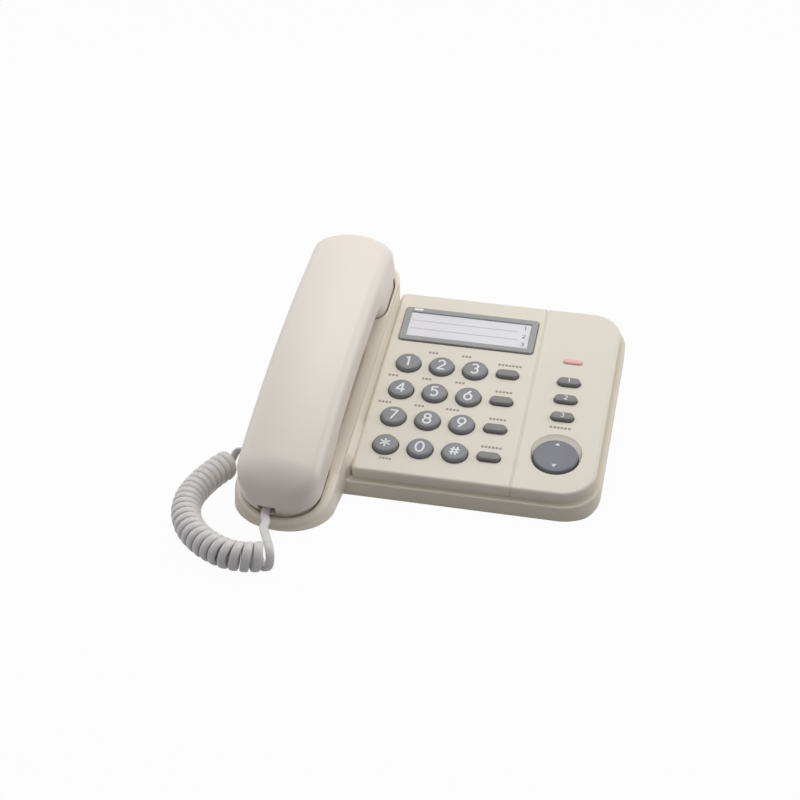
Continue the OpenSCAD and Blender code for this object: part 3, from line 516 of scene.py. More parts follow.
# %% Finishes
ivory = moulded("ivory_case", srgb(231, 225, 211), 0.42)
# painted light: the case's ivory made paler on the cradle, so that its rim beside the handset reads
# as brightly lit
ivory_lit_cradle = moulded("ivory_cradle_painted_light", srgb(238, 230, 215), 0.42)
# the lower case takes twice the painted shade in its corners
ivory_low = moulded("ivory_lower_case", srgb(228, 220, 202), 0.45, corner_shade=0.2)
ivory_pale = moulded("ivory_handset", srgb(239, 231, 222), 0.4, cloud=0.02)
key_grey = moulded("key_grey", srgb(134, 135, 139), 0.46, cloud=0.06, bump=0.06)
pill_grey = moulded("pill_key_grey", srgb(128, 127, 126), 0.48, cloud=0.06)
volume_grey = moulded("volume_grey", srgb(112, 115, 125), 0.42, cloud=0.05)
frame_grey = moulded("card_frame_grey", srgb(150, 152, 153), 0.4, cloud=0.05)
white_ink = moulded("white_ink", srgb(240, 241, 246), 0.5, cloud=0.01, corner_shade=0.0)
brown_ink = moulded("brown_ink", srgb(160, 150, 138), 0.55, cloud=0.08, corner_shade=0.0)
dark_ink = moulded("dark_ink", srgb(70, 70, 76), 0.55, cloud=0.08, corner_shade=0.0)
card_white = moulded("card_stock", srgb(246, 246, 252), 0.6, cloud=0.02, grain=900.0)
cord_grey = moulded("cord_grey", srgb(226, 223, 222), 0.36, cloud=0.05, grain=2400.0)
black_plastic = moulded("black_plastic", srgb(34, 34, 36), 0.4)
rubber_black = moulded("rubber_black", srgb(40, 39, 38), 0.75, cloud=0.1, grain=1200.0)
board_green = moulded("board_green", srgb(34, 92, 56), 0.35, cloud=0.1, grain=400.0)
steel = moulded("bright_steel", srgb(180, 181, 183), 0.28, polish=0.12, Metallic=1.0)
ribbon_grey = moulded("ribbon_grey", srgb(190, 190, 192), 0.4)
capacitor_blue = moulded("capacitor_sleeve", srgb(54, 66, 104), 0.35)
lamp_red = moulded("lamp_lens", srgb(242, 188, 184), 0.25, cloud=0.1,
                   Subsurface_Weight=0.35, Subsurface_Scale=0.002)
clear = moulded("clear_plastic", srgb(250, 250, 252), 0.12, cloud=0.0, corner_shade=0.0,
                Alpha=0.05, IOR=1.49)
plug_shell = moulded("plug_shell", srgb(176, 176, 178), 0.2, cloud=0.02, corner_shade=0.0,
                     Transmission_Weight=0.35, IOR=1.5)
print("finishes", len(bpy.data.materials))

# %% [markdown]
# ## The curly cord
#
# The cord leaves the handset's front end, drops to the desk and runs in 24 tight curls
# round the cradle's left side to a socket in the case. It is a flat four-wire cord with
# rounded edges, so it is modelled as a flat oval tube: wide along the coil, thin across.
# Its axis is three arcs on the desk, tighter at the start. Where the axis bends, the
# curls crowd on the inner side, and there the band is drawn a little narrower, as the
# real one tilts.

# %% The cord's route
CURLS = 24
CURL_R = 6.7       # from the coil's axis to the middle of the band
BAND_W, BAND_T = 4.6, 2.3
DESK_GAP = 0.15
COIL_Z = CURL_R + BAND_T / 2 + DESK_GAP
STEPS = 16         # points a turn
EXTRA_TURN = 0.25  # the coil ends a quarter turn on, at its low side
COIL_STEPS = int((CURLS + EXTRA_TURN) * STEPS)
ARC_R = [25.0, 48.0, 100.0]
ARC_LEN = [25.0, 64.0, 30.0]
AXIS_START = Vector((-62.2, -131.6))
START_HEADING = math.radians(214)
COIL_LEN = sum(ARC_LEN)


def axis_at(distance):
    """Point, heading and radius of the coil's axis at a distance along it."""
    point, heading = AXIS_START.copy(), START_HEADING
    for radius, length in zip(ARC_R, ARC_LEN):
        step = min(distance, length)
        if radius == ARC_R[-1]:
            step = distance
        after = heading - step / radius
        point += radius * Vector((math.sin(heading) - math.sin(after),
                                  math.cos(after) - math.cos(heading)))
        heading, distance = after, distance - step
        if distance <= 1e-9:
            break
    return point, heading, radius


def coil_point(k):
    """Centre of the band at step k, the axis direction there and the band's room."""
    point, heading, radius = axis_at(COIL_LEN * k / COIL_STEPS)
    along = Vector((math.cos(heading), math.sin(heading), 0))
    left = Vector((-along.y, along.x, 0))
    angle = 2 * math.pi * k / STEPS
    place = (Vector((point.x, point.y, COIL_Z)) + left * (CURL_R * math.sin(angle))
             + Vector((0, 0, CURL_R * math.cos(angle))))
    pitch = COIL_LEN / (CURLS + EXTRA_TURN)
    room = pitch * (1 + CURL_R * math.sin(angle) / radius)
    return place, along, room


def smooth_route(points, per=8):
    """Points of a smooth curve through given ones."""
    route = []
    for i in range(len(points) - 1):
        a, b = points[max(0, i - 1)], points[i]
        c, d = points[i + 1], points[min(len(points) - 1, i + 2)]
        for s in range(per):
            t = s / per
            route.append(0.5 * (2 * b + (c - a) * t + (2 * a - 5 * b + 4 * c - d) * t ** 2
                                + (3 * b - a - 3 * c + d) * t ** 3))
    return route + [points[-1]]


coil = [coil_point(k) for k in range(COIL_STEPS + 1)]
lead_in = coil[0][0] + (coil[0][0] - coil[1][0]).normalized() * 3.5
lead_out = coil[-1][0] + (coil[-1][0] - coil[-2][0]).normalized() * 3.2
handset_lead = smooth_route([
    rim(-3.5, 7.5, 4.4), rim(-3.5, 0.5, 4.0), Vector((-69.5, -107.5, 11.5)),
    Vector((-68.2, -117.0, 14.3)), lead_in, coil[0][0]])
base_lead = smooth_route([
    coil[-1][0], lead_out, Vector((-107.6, -46.2, 2.1)), Vector((-105.4, -42.2, 4.0)),
    plan(-POD_W / 2 - 9.0, 58.6, 8.0), plan(-POD_W / 2 - 3.0, 58.6, 8.4)])
route = handset_lead[:-1] + [c[0] for c in coil] + base_lead[1:]
print("cord points", len(route), "coil", round(COIL_LEN), "mm along its axis")

# %% [markdown]
# A tube needs to know which way is "wide" at every point. Along the coil that is the
# axis. On the two leads the wide direction is carried along from the coil, turned no
# more than the route itself turns, so the band doesn't twist.

# %% The cord's band
directions = []
for i in range(len(route)):
    ahead, behind = route[min(len(route) - 1, i + 1)], route[max(0, i - 1)]
    directions.append((ahead - behind).normalized())
first, last = len(handset_lead) - 1, len(handset_lead) - 1 + len(coil) - 1
wide = [None] * len(route)
for i, (_, along, _) in enumerate(coil):
    t = directions[first + i]
    wide[first + i] = (along - t * along.dot(t)).normalized()
for i in range(first - 1, -1, -1):
    carried = wide[i + 1] - directions[i] * wide[i + 1].dot(directions[i])
    wide[i] = carried.normalized()
for i in range(last + 1, len(route)):
    carried = wide[i - 1] - directions[i] * wide[i - 1].dot(directions[i])
    wide[i] = carried.normalized()

print("the band turns", round(math.degrees(wide[0].angle(wide[first]))), "degrees on its way")

# %% [markdown]
# The section is a flat oval, fuller than an ellipse: the power of its formula is 2.6
# where an ellipse has 2.

# %% The cord's skin
SIDES, FULLNESS = 14, 2.6
CURL_SHARE = 0.95  # of the room that the coil leaves to one curl

band = Skin()
rings = []
for i, point in enumerate(route):
    across = wide[i].cross(directions[i])
    width = BAND_W
    if first <= i <= last:
        width = min(BAND_W, CURL_SHARE * coil[i - first][2])
    ring = []
    for s in range(SIDES):
        a = 2 * math.pi * s / SIDES
        c, n = math.cos(a), math.sin(a)
        wave = (abs(c) ** FULLNESS + abs(n) ** FULLNESS) ** (-1 / FULLNESS)
        ring.append(point + wide[i] * (width / 2 * wave * c) + across * (BAND_T / 2 * wave * n))
    rings.append(ring)
band.capped(rings)
cord = band.build("curly_cord", smooth=60)
cord.data.materials.append(cord_grey)
cord_length = sum((b - a).length for a, b in zip(route, route[1:])) * MM
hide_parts("cord_handset_tail", "cord_curls", "cord_base_tail")
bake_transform(cord)
print("cord", round(cord_length, 3), "m")

# %% [markdown]
# ## The lower case
#
# The case is a tray. Its rim follows the deck's slope, its side shows as a band of
# constant height, and below the band the body steps in, so the telephone looks thinner
# than it is. Each ring below is the same rounded outline, moved in a little and laid on
# a plane parallel to the deck, but never lower than the case's underside.

# %% Lower case
FOOT_H = 1.0
FRONT_STEP = 2.0
INNER_X = DECK_X - 11
BAND_H = 10.0
RIM_EDGE, BAND_EDGE = 0.7, 1.0
SET_BACK = 2.5
FRONT_R, BACK_CORNER_R = 21, 19


def low_ring(inset, w, least=FOOT_H):
    outline = rounded(INNER_X, DECK_Y - FRONT_STEP + inset, CASE_W / 2 - inset, BACK_Y - inset,
                      [0.5, FRONT_R - inset, BACK_CORNER_R - inset, 0.5], 14)
    return [Vector((x, y, max(least, deck_height(y, w)))) for x, y in outline]


rings = [low_ring(RIM_EDGE * (1 - s), -DECK_DROP - RIM_EDGE * (1 - c)) for s, c in quarter(4)]
foot = -DECK_DROP - BAND_H
for s, c in quarter(5):
    rise = BAND_EDGE * (1 - s)
    rings.append(low_ring(BAND_EDGE * (1 - c), foot + rise, FOOT_H + rise))
rings += [low_ring(SET_BACK, foot), low_ring(SET_BACK, -60)]
tray = Skin()
tray.capped(rings)
lower_case = tray.build("lower_case_shell")
dress(lower_case, ivory_low, "base", "case_low", "lower_case")
print("lower case", len(rings), "rings")

# %% [markdown]
# The tray's back wall has openings for the line jack and two switches, and its
# underside has two keyholes and the screw wells. They are cut with Booleans, from plain
# cutters that are deleted afterwards.

# %% Openings of the lower case
LINE_X, RINGER_X, DIAL_X = 34.0, 60.0, 5.0
BOARD_TOP = 10.6
KEYHOLE_X, KEYHOLE_Y, KEYHOLE_APART = 16, 12, 83
KEYHOLE_R, KEYHOLE_SLOT = 4.2, 2.1
SCREW_R, SCREW_U, SCREW_V = 3.1, (6.5, 118.5), (12, 134)


def level(x, y, z):
    """Point of the base's own level frame."""
    return Vector((x, y, z))


def cut(piece, cutter_skin):
    """Cuts a skin's solids out of a piece for good."""
    cutter = cutter_skin.build("cutter")
    knife = piece.modifiers.new("openings", "BOOLEAN")
    knife.operation = "DIFFERENCE"
    knife.solver = "EXACT"
    knife.object = cutter
    bpy.context.view_layer.update()
    graph = bpy.context.evaluated_depsgraph_get()
    result = bpy.data.meshes.new_from_object(piece.evaluated_get(graph))
    piece.modifiers.remove(knife)
    old = piece.data
    piece.data = result
    result.name = old.name
    bpy.data.meshes.remove(old)
    bpy.data.objects.remove(cutter)
    result.shade_smooth()
    result.set_sharp_from_angle(angle=math.radians(35))
    print(piece.name, "cut:", len(result.polygons), "faces")


rear = Skin()
for x, half, depth, low, high in ((LINE_X, 5.9, 16, 1.2, 9.2), (RINGER_X, 5, 7, 2.2, 5.2),
                                  (DIAL_X, 4, 7, 2.2, 5.2)):
    rear.box(level, (x - half, BACK_Y - depth, BOARD_TOP + low),
             (x + half, BACK_Y + 2, BOARD_TOP + high))
cut(lower_case, rear)
keyholes = [KEYHOLE_Y + side * KEYHOLE_APART / 2 for side in (-1, 1)]
under = Skin()
for y in keyholes:
    under.drum(level, KEYHOLE_X, y, KEYHOLE_R, -1, 5)
for v in SCREW_V:
    for u in SCREW_U:
        under.drum(level, DECK_X + u, DECK_Y + v * math.cos(DECK_TILT), SCREW_R, -1, 4)
cut(lower_case, under)
slots = Skin()
for y in keyholes:
    slots.box(level, (KEYHOLE_X - KEYHOLE_SLOT, y + 1, -1), (KEYHOLE_X + KEYHOLE_SLOT, y + 8.5, 5))
cut(lower_case, slots)
keep_flats_flat(lower_case)

# %% [markdown]
# ## The deck plate
#
# The raised plate carries the keys. A shallow groove divides it, so it is made as two
# panels with a strip between them. Each panel is one closed skin: its outline climbs
# the side, turns over a rounded edge and ends in a flat face, and every key sits in its
# own blind pocket with a smaller rounded edge.

# %% A panel with pockets
PLATE_EDGE = 1.7
FLAT_RIM = 0.15  # a flat border keeps the shading of the big faces even
POCKET_W = -6.2


def panel(name, outline, holes, edge=PLATE_EDGE):
    """Closed panel of the deck. outline(inset) and each hole's outline(grow) give (u, v).

    A hole is its outline, the radius of its soft edge, and the (grow, w) rings of a dish."""
    skin = Skin()
    rings = [[deck(u, v, -DECK_DROP) for u, v in outline(0)]]
    for s, c in quarter(6):
        rings.append([deck(u, v, -edge * (1 - s)) for u, v in outline(edge * (1 - c))])
    rings.append([deck(u, v, 0) for u, v in outline(edge + FLAT_RIM)])
    outer = skin.stack(rings)
    skin.fill([outer[0]])
    loops = [outer[-1]]
    for hole, soft, dish in holes:
        rings = [[deck(u, v, POCKET_W) for u, v in hole(0)]]
        if dish:
            rings += [[deck(u, v, w) for u, v in hole(grow)] for grow, w in dish]
        start_grow, start_w = dish[-1] if dish else (0, 0)
        for s, c in quarter(4):
            rings.append([deck(u, v, start_w - soft * (1 - s)) for u, v in
                          hole(start_grow + soft * (1 - c))])
        rings.append([deck(u, v, 0) for u, v in hole(start_grow + soft + FLAT_RIM)])
        made = skin.stack(rings)
        skin.fill([made[0]])
        loops.append(made[-1])
    skin.fill(loops)
    piece = skin.build(name)
    dress(piece, ivory, "base", "case", "upper_case")
    keep_flats_flat(piece)
    print(name, len(holes), "pockets,", len(piece.data.polygons), "faces")


# %% [markdown]
# The keys stand in a regular grid, so their places are a list of columns and a list of
# rows. Each kind of key has a function that gives its opening, grown by any amount.

# %% Places of the keys and their openings
KEY_R, KEY_GAP, KEY_EDGE = 6.8, 0.4, 0.5
COLUMNS = [15.0, 33.8, 52.6]
FIRST_ROW, ROW_PITCH = 20.2, 21.8
ROWS = [FIRST_ROW + ROW_PITCH * j for j in range(4)]
FUNCTION_U, MEMORY_U = 70.9, 105.3
FIRST_MEMORY, MEMORY_PITCH = 57.3, 13.9
MEMORY_V = [FIRST_MEMORY + MEMORY_PITCH * i for i in range(3)]
PILL_L, PILL_W, PILL_EDGE = 12.3, 5.6, 0.4
VOLUME_U, VOLUME_V, VOLUME_R, DISH_FRONT = 105.8, 27.1, 12.0, 0.25
LAMP_V, LAMP_L, LAMP_W = 102.5, 11, 4
CARD_U, CARD_V, CARD_L, CARD_H, CARD_R = 5.0, 104.5, 77.3, 28.3, 2.2


def key_hole(u, v):
    return lambda grow: round_hole(u, v, KEY_R + KEY_GAP + grow, 48)


def pill_hole(u, v, length=PILL_L, width=PILL_W, gap=KEY_GAP):
    return lambda grow: pill(u, v, length + 2 * (gap + grow), width + 2 * (gap + grow), 10)


def card_hole(grow):
    return rounded(CARD_U - grow, CARD_V - grow, CARD_U + CARD_L + grow, CARD_V + CARD_H + grow,
                   [CARD_R + grow] * 4, 6)


def volume_hole(grow):
    """The dish round the volume key reaches further towards the back, for the thumb."""
    outline = []
    for i in range(64):
        turn = math.tau * i / 64
        c, s = math.cos(turn), math.sin(turn)
        reach = VOLUME_R + KEY_GAP + grow * (DISH_FRONT + max(0.0, s))
        outline.append((VOLUME_U + reach * c, VOLUME_V + reach * s))
    return outline


print("rows at", [round(v, 1) for v in ROWS], "up the slope")

# %% [markdown]
# The left panel has the digits, the function keys and the card. The right one has the
# volume key in its dish, the memory keys and the lamp.

# %% Deck panels
GROOVE_U, GROOVE_W, GROOVE_DEPTH = 85.0, 0.8, 0.6
GROOVE_EDGE = 0.25  # how much of the plate's edge the groove's sides get
PLATE_FRONT_R, PLATE_BACK_R, PLATE_LEFT_R, SHARP = 19, 17, 3.0, 0.3
DISH = [(0, -1.5), (0.9, -1.25), (2.0, -0.8), (2.9, -0.3)]

left_holes = [(key_hole(u, v), KEY_EDGE, None) for u in COLUMNS for v in ROWS]
left_holes += [(pill_hole(FUNCTION_U, v), PILL_EDGE, None) for v in ROWS]
left_holes.append((card_hole, 0.3, None))
right_holes = [(volume_hole, 0.7, DISH)]
right_holes += [(pill_hole(MEMORY_U, v), PILL_EDGE, None) for v in MEMORY_V]
right_holes.append((pill_hole(MEMORY_U, LAMP_V, LAMP_L, LAMP_W, 0.05), 0.25, None))


def left_outline(inset):
    return rounded(inset, inset, GROOVE_U - inset * GROOVE_EDGE, DECK_L - inset,
                   [PLATE_LEFT_R, SHARP, SHARP, PLATE_LEFT_R], 10)


def right_outline(inset):
    return rounded(GROOVE_U + GROOVE_W + inset * GROOVE_EDGE, inset, DECK_W - inset,
                   DECK_L - inset, [SHARP, PLATE_FRONT_R - inset, PLATE_BACK_R - inset, SHARP], 14)


panel("deck_panel_left", left_outline, left_holes)
panel("deck_panel_right", right_outline, right_holes)

# %% [markdown]
# The strip between the panels is the groove's floor. It follows the plate's side over
# the rounded edge, a little lower than the panels.

# %% Groove
UNDER_PANELS = 0.4  # how far the strip goes under each panel
arc = [(GROOVE_DEPTH + PLATE_EDGE * (1 - c), -GROOVE_DEPTH - PLATE_EDGE * (1 - s))
       for s, c in quarter(5)]
profile = [(GROOVE_DEPTH, -DECK_DROP)] + arc
profile += [(DECK_L - v, w) for v, w in reversed(profile)]
groove = Skin()
groove.capped([[deck(u, v, w) for v, w in profile] for u in
               (GROOVE_U - UNDER_PANELS, GROOVE_U + GROOVE_W + UNDER_PANELS)])
groove_strip = groove.build("deck_groove")
dress(groove_strip, ivory, "base", "case", "upper_case")
print("groove", GROOVE_W, "mm wide,", GROOVE_DEPTH, "deep")

# %% [markdown]
# ## The cradle housing
#
# The cradle is a long box with round ends that stands beside the deck and rises towards
# the back. Its rim slopes more than the deck does, has two wells for the handset's caps
# and a hollow for the fingers between them. The rim turns into the wall over an edge
# that is generous at the front and tight beside the earpiece, and on the deck's side
# the wall leans outwards until it meets the plate.

# %% Plan of the cradle
HOUSING_FRONT_R, HOUSING_BACK_R = (28.5, 24.5), 20.0
FRONT_REACH = 0.8


def ease(value, low, high):
    """Smooth step from 0 at low to 1 at high."""
    t = min(1.0, max(0.0, (value - low) / (high - low)))
    return t * t * (3 - 2 * t)


def long_outline(x0, y0, x1, y1, radii, steps=12, side_steps=30):
    """A rounded outline whose two long sides have points along them."""
    outline = rounded(x0, y0, x1, y1, radii, steps)
    per = steps + 1
    corners = [outline[i * per:(i + 1) * per] for i in range(4)]

    def side(a, b):
        return [(a[0] + (b[0] - a[0]) * i / side_steps, a[1] + (b[1] - a[1]) * i / side_steps)
                for i in range(1, side_steps)]

    return (corners[0] + corners[1] + side(corners[1][-1], corners[2][0]) + corners[2]
            + corners[3] + side(corners[3][-1], corners[0][0]))


def housing_plan(inset, spread=0.0):
    """Plan of the cradle. The foot spreads a little to the front and to the right."""
    left, right = -POD_W / 2 + inset, POD_W / 2 + spread * 0.8 - inset
    radii = [r - inset for r in (*HOUSING_FRONT_R, HOUSING_BACK_R, HOUSING_BACK_R)]
    return long_outline(left, inset - FRONT_REACH - spread * 0.6, right, POD_LEN - inset,
                        radii, 14)


full = housing_plan(0)
tight = housing_plan(1.0)
foot_plan = housing_plan(0, 1.0)
inward = [(b[0] - a[0], b[1] - a[1]) for a, b in zip(full, tight)]
print("cradle outline", len(full), "points")

# %% [markdown]
# Two rules make the rings. One goes over the rim's edge, which is round on three sides
# and a thin parting line where the cradle stands against the deck. The other goes down
# the wall. Both fade from one form to the other with a smooth step, so no ring jumps.

# %% Rings of the cradle
EDGE_FRONT, EDGE_BACK = 3.4, 1.7
# the parting line's section: how far out and how deep each of its rings lies
PARTING = [(-0.8, 0.0), (-0.3, 0.0), (-0.16, 0.14), (-0.12, 0.8), (0.14, 0.8), (0.18, 0.2),
           (0.36, 0.1), (0.7, 0.4)]
PLATE_TUCK = 0.7  # how far under the plate's top the wall meets its side
LEDGE_Z, FOOT_RISE, BASE_IN = FOOT_H + 1.2, 0.6, 0.5


def rim_edge(y):
    """Radius of the rim's outer edge at a place along the level plan."""
    return EDGE_FRONT - (EDGE_FRONT - EDGE_BACK) * ease(y, 45, 135)


def rim_height(y):
    return POD_H + y * math.tan(POD_TILT)


def deckward(x, y, start):
    """1 on the side that faces the deck, 0 elsewhere, with soft ends."""
    beside = 1.0 if x > POD_W / 2 - 0.01 else 0.0
    return beside * ease(y, start, start + 3) * (1 - ease(y, 180, 188))


def edge_ring(step, s, c, further=0.0):
    """Ring over the rim's edge: rounded, and a parting line beside the deck."""
    out, deep = PARTING[step]
    ring = []
    for (x, y), (ix, iy) in zip(full, inward):
        part = deckward(x, y, 36)
        edge = rim_edge(y)
        shift = edge * (1 - c) * (1 - part) - out * part + further * (1 - part)
        drop = edge * (1 - s) * (1 - part) + deep * part
        ring.append(plan(x + ix * shift, y + iy * shift, rim_height(y + iy * shift) - drop))
    return ring


def wall_ring(depth):
    """Ring on the wall: at the deck's ledge, near the desk, or on it."""
    ring = []
    for (x, y), (ix, iy), (fx, fy) in zip(full, inward, foot_plan):
        world_y = plan(x, y, 0)[1]
        # the wall meets the plate's side: low at the plate's front, then just under its top
        below = PLATE_TUCK + (DECK_DROP - PLATE_TUCK) * (1 - ease(world_y - DECK_Y, 0, 8))
        ledge = deck_height(world_y, -below)
        part = deckward(x, y, 42.5)
        if depth == "ledge":
            z = max(ledge, LEDGE_Z) * part + LEDGE_Z * (1 - part)
            z = min(z, rim_height(y) - rim_edge(y) - 0.5)
            point = plan(fx, fy, z)
            foot_x = DECK_X + 0.3
            point[0] += (foot_x - point[0]) * part
        else:
            point = plan(fx, fy, FOOT_H + (FOOT_RISE if depth == "foot" else 0.0))
            if depth == "base":
                point += Vector((ix, iy, 0)) * BASE_IN
        ring.append(point)
    return ring


turns = list(reversed(quarter(7)))
rings = [edge_ring(0, *turns[0], FLAT_RIM)]
rings += [edge_ring(i, s, c) for i, (s, c) in enumerate(turns)]
rings += [wall_ring(d) for d in ("ledge", "foot", "base")]
print("cradle", len(rings), "rings of", len(rings[0]), "points")

# %% [markdown]
# The three wells are rings too, from the soft edge at the rim down to a flat floor. The
# rim's face is filled last, as one flat face with three holes.

# %% Cradle housing
MOUTH_FLOOR = 5.4
EAR_DEPTH, TROUGH_DEPTH = 12.0, 10.0

housing = Skin()
outer = housing.stack(rings)
housing.fill([outer[-1]])
loops = [outer[0]]


def well(outline, bottom, edge):
    """Adds a well below the rim. bottom(u, v) is the depth of its floor."""
    rings = []
    for s, c in quarter(4):
        rings.append([rim(u, v, -edge * (1 - s)) for u, v in outline(edge * (1 - c))])
    rings.append([rim(u, v, 0) for u, v in outline(edge + FLAT_RIM)])
    low = [rim(u, v, bottom(u, v)) for u, v in outline(-0.8)]
    wall_end = [rim(u, v, bottom(u, v) + 0.8) for u, v in outline(0)]
    made = housing.stack([low, wall_end] + rings)
    housing.fill([made[0]])
    loops.append(made[-1])


def ear_outline(grow):
    return rounded(-24.95 - grow, 153.1 - grow, 24.95 + grow, 199.6 + grow,
                   [10.3 + grow] * 2 + [19.5 + grow] * 2, 12)


def mouth_outline(grow):
    return rounded(-22.0 - grow, 2.6 - grow, 21.1 + grow, 47.5 + grow,
                   [22.3 + grow, 18.4 + grow, 10.5 + grow, 10.5 + grow], 16)


def trough_outline(grow):
    return rounded(-18 - grow, 64 - grow, 18 + grow, 136 + grow, [10 + grow] * 4, 8)


def mouth_bottom(u, v):
    """The mouthpiece's well has a level floor, so it is deeper towards the back."""
    return (MOUTH_FLOOR - POD_H - v * math.sin(POD_TILT)) / math.cos(POD_TILT)


well(mouth_outline, mouth_bottom, 0.5)
well(ear_outline, lambda u, v: -EAR_DEPTH, 0.45)
well(trough_outline, lambda u, v: -TROUGH_DEPTH, 2.6)
housing.fill(loops)
cradle = housing.build("cradle_housing")
# the cradle wears the paler ivory: painted light
dress(cradle, ivory_lit_cradle, "base", "case", "upper_case")

# %% [markdown]
# The wall on the left has the opening for the cord's plug, with room behind it for the
# socket, and the earpiece's well has the bore of the hook switch's plunger.

# %% Openings of the cradle
JACK_T, JACK_Z = 58.6, 8.4
JACK_HALF, ROOM_HALF, ROOM_Z = (4.6, 4.3), 5.7, (3.2, 13.2)
HOOK_V, HOOK_BORE = 178, 3.1


def wall(x, y, z):
    """Point by the cradle's left wall: in from the wall, along it and up."""
    return plan(-POD_W / 2 + x, y, z)


mouth_of_jack = Skin()
mouth_of_jack.box(wall, (-2, JACK_T - JACK_HALF[0], JACK_Z - JACK_HALF[1]),
                  (3, JACK_T + JACK_HALF[0], JACK_Z + JACK_HALF[1]))
cut(cradle, mouth_of_jack)
jack_room = Skin()
jack_room.box(wall, (2.1, JACK_T - ROOM_HALF, ROOM_Z[0]), (16.6, JACK_T + ROOM_HALF, ROOM_Z[1]))
jack_room.drum(rim, 0, HOOK_V, HOOK_BORE, -17, -11.5)
cut(cradle, jack_room)
keep_flats_flat(cradle)

# %% [markdown]
# ## The handset
#
# The handset is a bar with a nearly flat crown, bent to a wide arc so that the grip
# stands a little higher than its ends. Seen from above it has straight sides, a round
# front end and a back end that bows out gently between two small corners. The edge
# between crown and sides is rounded by 5 mm, but over the front end it grows to 19 mm.
#
# A surface like that is easy to describe by a height: the crown's own height, less what
# a rounded edge takes off at a distance from the outline. Rings run from the outline
# towards the middle line, and each point gets its height from that rule.

# %% Outline of the handset
HS_HALF, HS_FRONT, HS_BACK = 22.7, 3.6, 200.3
BACK_R, BACK_CORNER = 38.0, 9.5
FRONT_LEFT, FRONT_RIGHT = 19.5, 17.0
SIDE_STEPS = 60


def back_half(side):
    """The back right quarter of the outline, from the side to the middle line."""
    centre = HS_BACK - BACK_R
    reach = BACK_R - BACK_CORNER
    x = HS_HALF - BACK_CORNER
    y = centre + math.sqrt(reach * reach - x * x)
    lean = math.asin(x / reach)
    points = []
    for i in range(11):
        a = (math.pi / 2 - lean) * i / 10
        points.append((side * (x + BACK_CORNER * math.cos(a)), y + BACK_CORNER * math.sin(a)))
    for i in range(1, 11):
        a = lean * (1 - i / 10)
        points.append((side * BACK_R * math.sin(a), centre + BACK_R * math.cos(a)))
    return points


def handset_outline():
    """Points (u, v) from the front's middle, up the right side and down the left."""
    outline = []
    for side, corner in ((1, FRONT_RIGHT), (-1, FRONT_LEFT)):
        start_u, start_v = HS_HALF - corner, HS_FRONT + corner
        half = [(side * start_u * i / 3, HS_FRONT) for i in range(3)]
        for i in range(17):
            a = math.pi / 2 * (1 - i / 16)
            half.append((side * (start_u + corner * math.cos(a)), start_v - corner * math.sin(a)))
        back = back_half(side)
        for i in range(1, SIDE_STEPS):
            half.append((side * HS_HALF, start_v + (back[0][1] - start_v) * i / SIDE_STEPS))
        half += back
        outline.append(half)
    right, left = outline
    return right + list(reversed(left[1:-1]))


OUTLINE = handset_outline()
print("handset outline", len(OUTLINE), "points")

# %% [markdown]
# The rules for the heights come next: the arch that lifts the grip, the lean of the
# sides beside the earpiece, the crown with its roll over the front end, and the rounded
# edge. The middle line is shorter than the bar, so the rings close in from the ends too.

# %% Heights of the handset
HS_TOP, HS_SPLIT, GRIP_W = 25.0, 8.0, 4.0
HS_ARCH, HS_ARC, HS_MID = 6.5, 536.3, 103.25
CROWN_R, EDGE_R, FRONT_ROLL = 80.0, 5.0, 19.0
FRONT_FACE = 1.2  # what is left of the crown at the very front
LEAN, LEAN_TOP = 0.075, 21
SPINE = (27.0, 178.0)
SEAM = 0.05


def arch(v):
    """How far the handset's middle rises above its ends."""
    return HS_ARCH - (v - HS_MID) ** 2 / (2 * HS_ARC)


def draft(v, w):
    """How far the sides lean out beside the earpiece, at a height over the rim."""
    return LEAN * max(0.0, LEAN_TOP - w) * ease(v, 150, 160)


def drafted(u, v, w):
    """Point over the rim, moved out by the sides' lean."""
    return rim(u * (1 + draft(v, w) / HS_HALF), v, w)


def spine_at(point):
    """Nearest place on the middle line, and how far the outline is from it."""
    spine = min(SPINE[1], max(SPINE[0], point[1]))
    return spine, math.hypot(point[0], point[1] - spine)


def moved_in(point, distance):
    """Point of the outline moved towards the middle line."""
    spine, room = spine_at(point)
    share = max(0.0, 1 - distance / room)
    return point[0] * share, spine + (point[1] - spine) * share


def crown_height(u, v):
    """Height over the shells' meeting line, before the edge is rounded."""
    along = max(0.0, 1 - (v - HS_FRONT) / FRONT_ROLL)
    top = HS_TOP - HS_SPLIT - u * u / (2 * CROWN_R)
    return top - (top - FRONT_FACE) * (1 - math.sqrt(1 - min(1.0, along) ** 2))


def crown_point(point, distance):
    """Point of the crown, at a distance in from a point of the outline."""
    u, v = moved_in(point, distance)
    edge = min(EDGE_R, 0.7 * crown_height(point[0], point[1]))
    part = max(0.0, 1 - distance / edge)
    rise = crown_height(u, v) - edge * (1 - math.sqrt(1 - part * part))
    return drafted(u, v, HS_SPLIT + arch(v) + rise)


def edge_reach(point):
    """How far in the close rings go: the edge, or the whole roll of the front."""
    front = 1 - ease(point[1], HS_FRONT + 1, HS_FRONT + 17)
    return EDGE_R + (FRONT_ROLL - EDGE_R) * front


def split_ring(gap, share=0.0):
    """Ring on the face where the shells meet, a share of the way to the middle line."""
    ring = []
    for p in OUTLINE:
        u, v = moved_in(p, spine_at(p)[1] * share)
        ring.append(drafted(u, v, HS_SPLIT + gap + arch(v)))
    return ring


print("the grip stands", round(arch(HS_MID) - arch(HS_FRONT), 1), "mm over the front end")

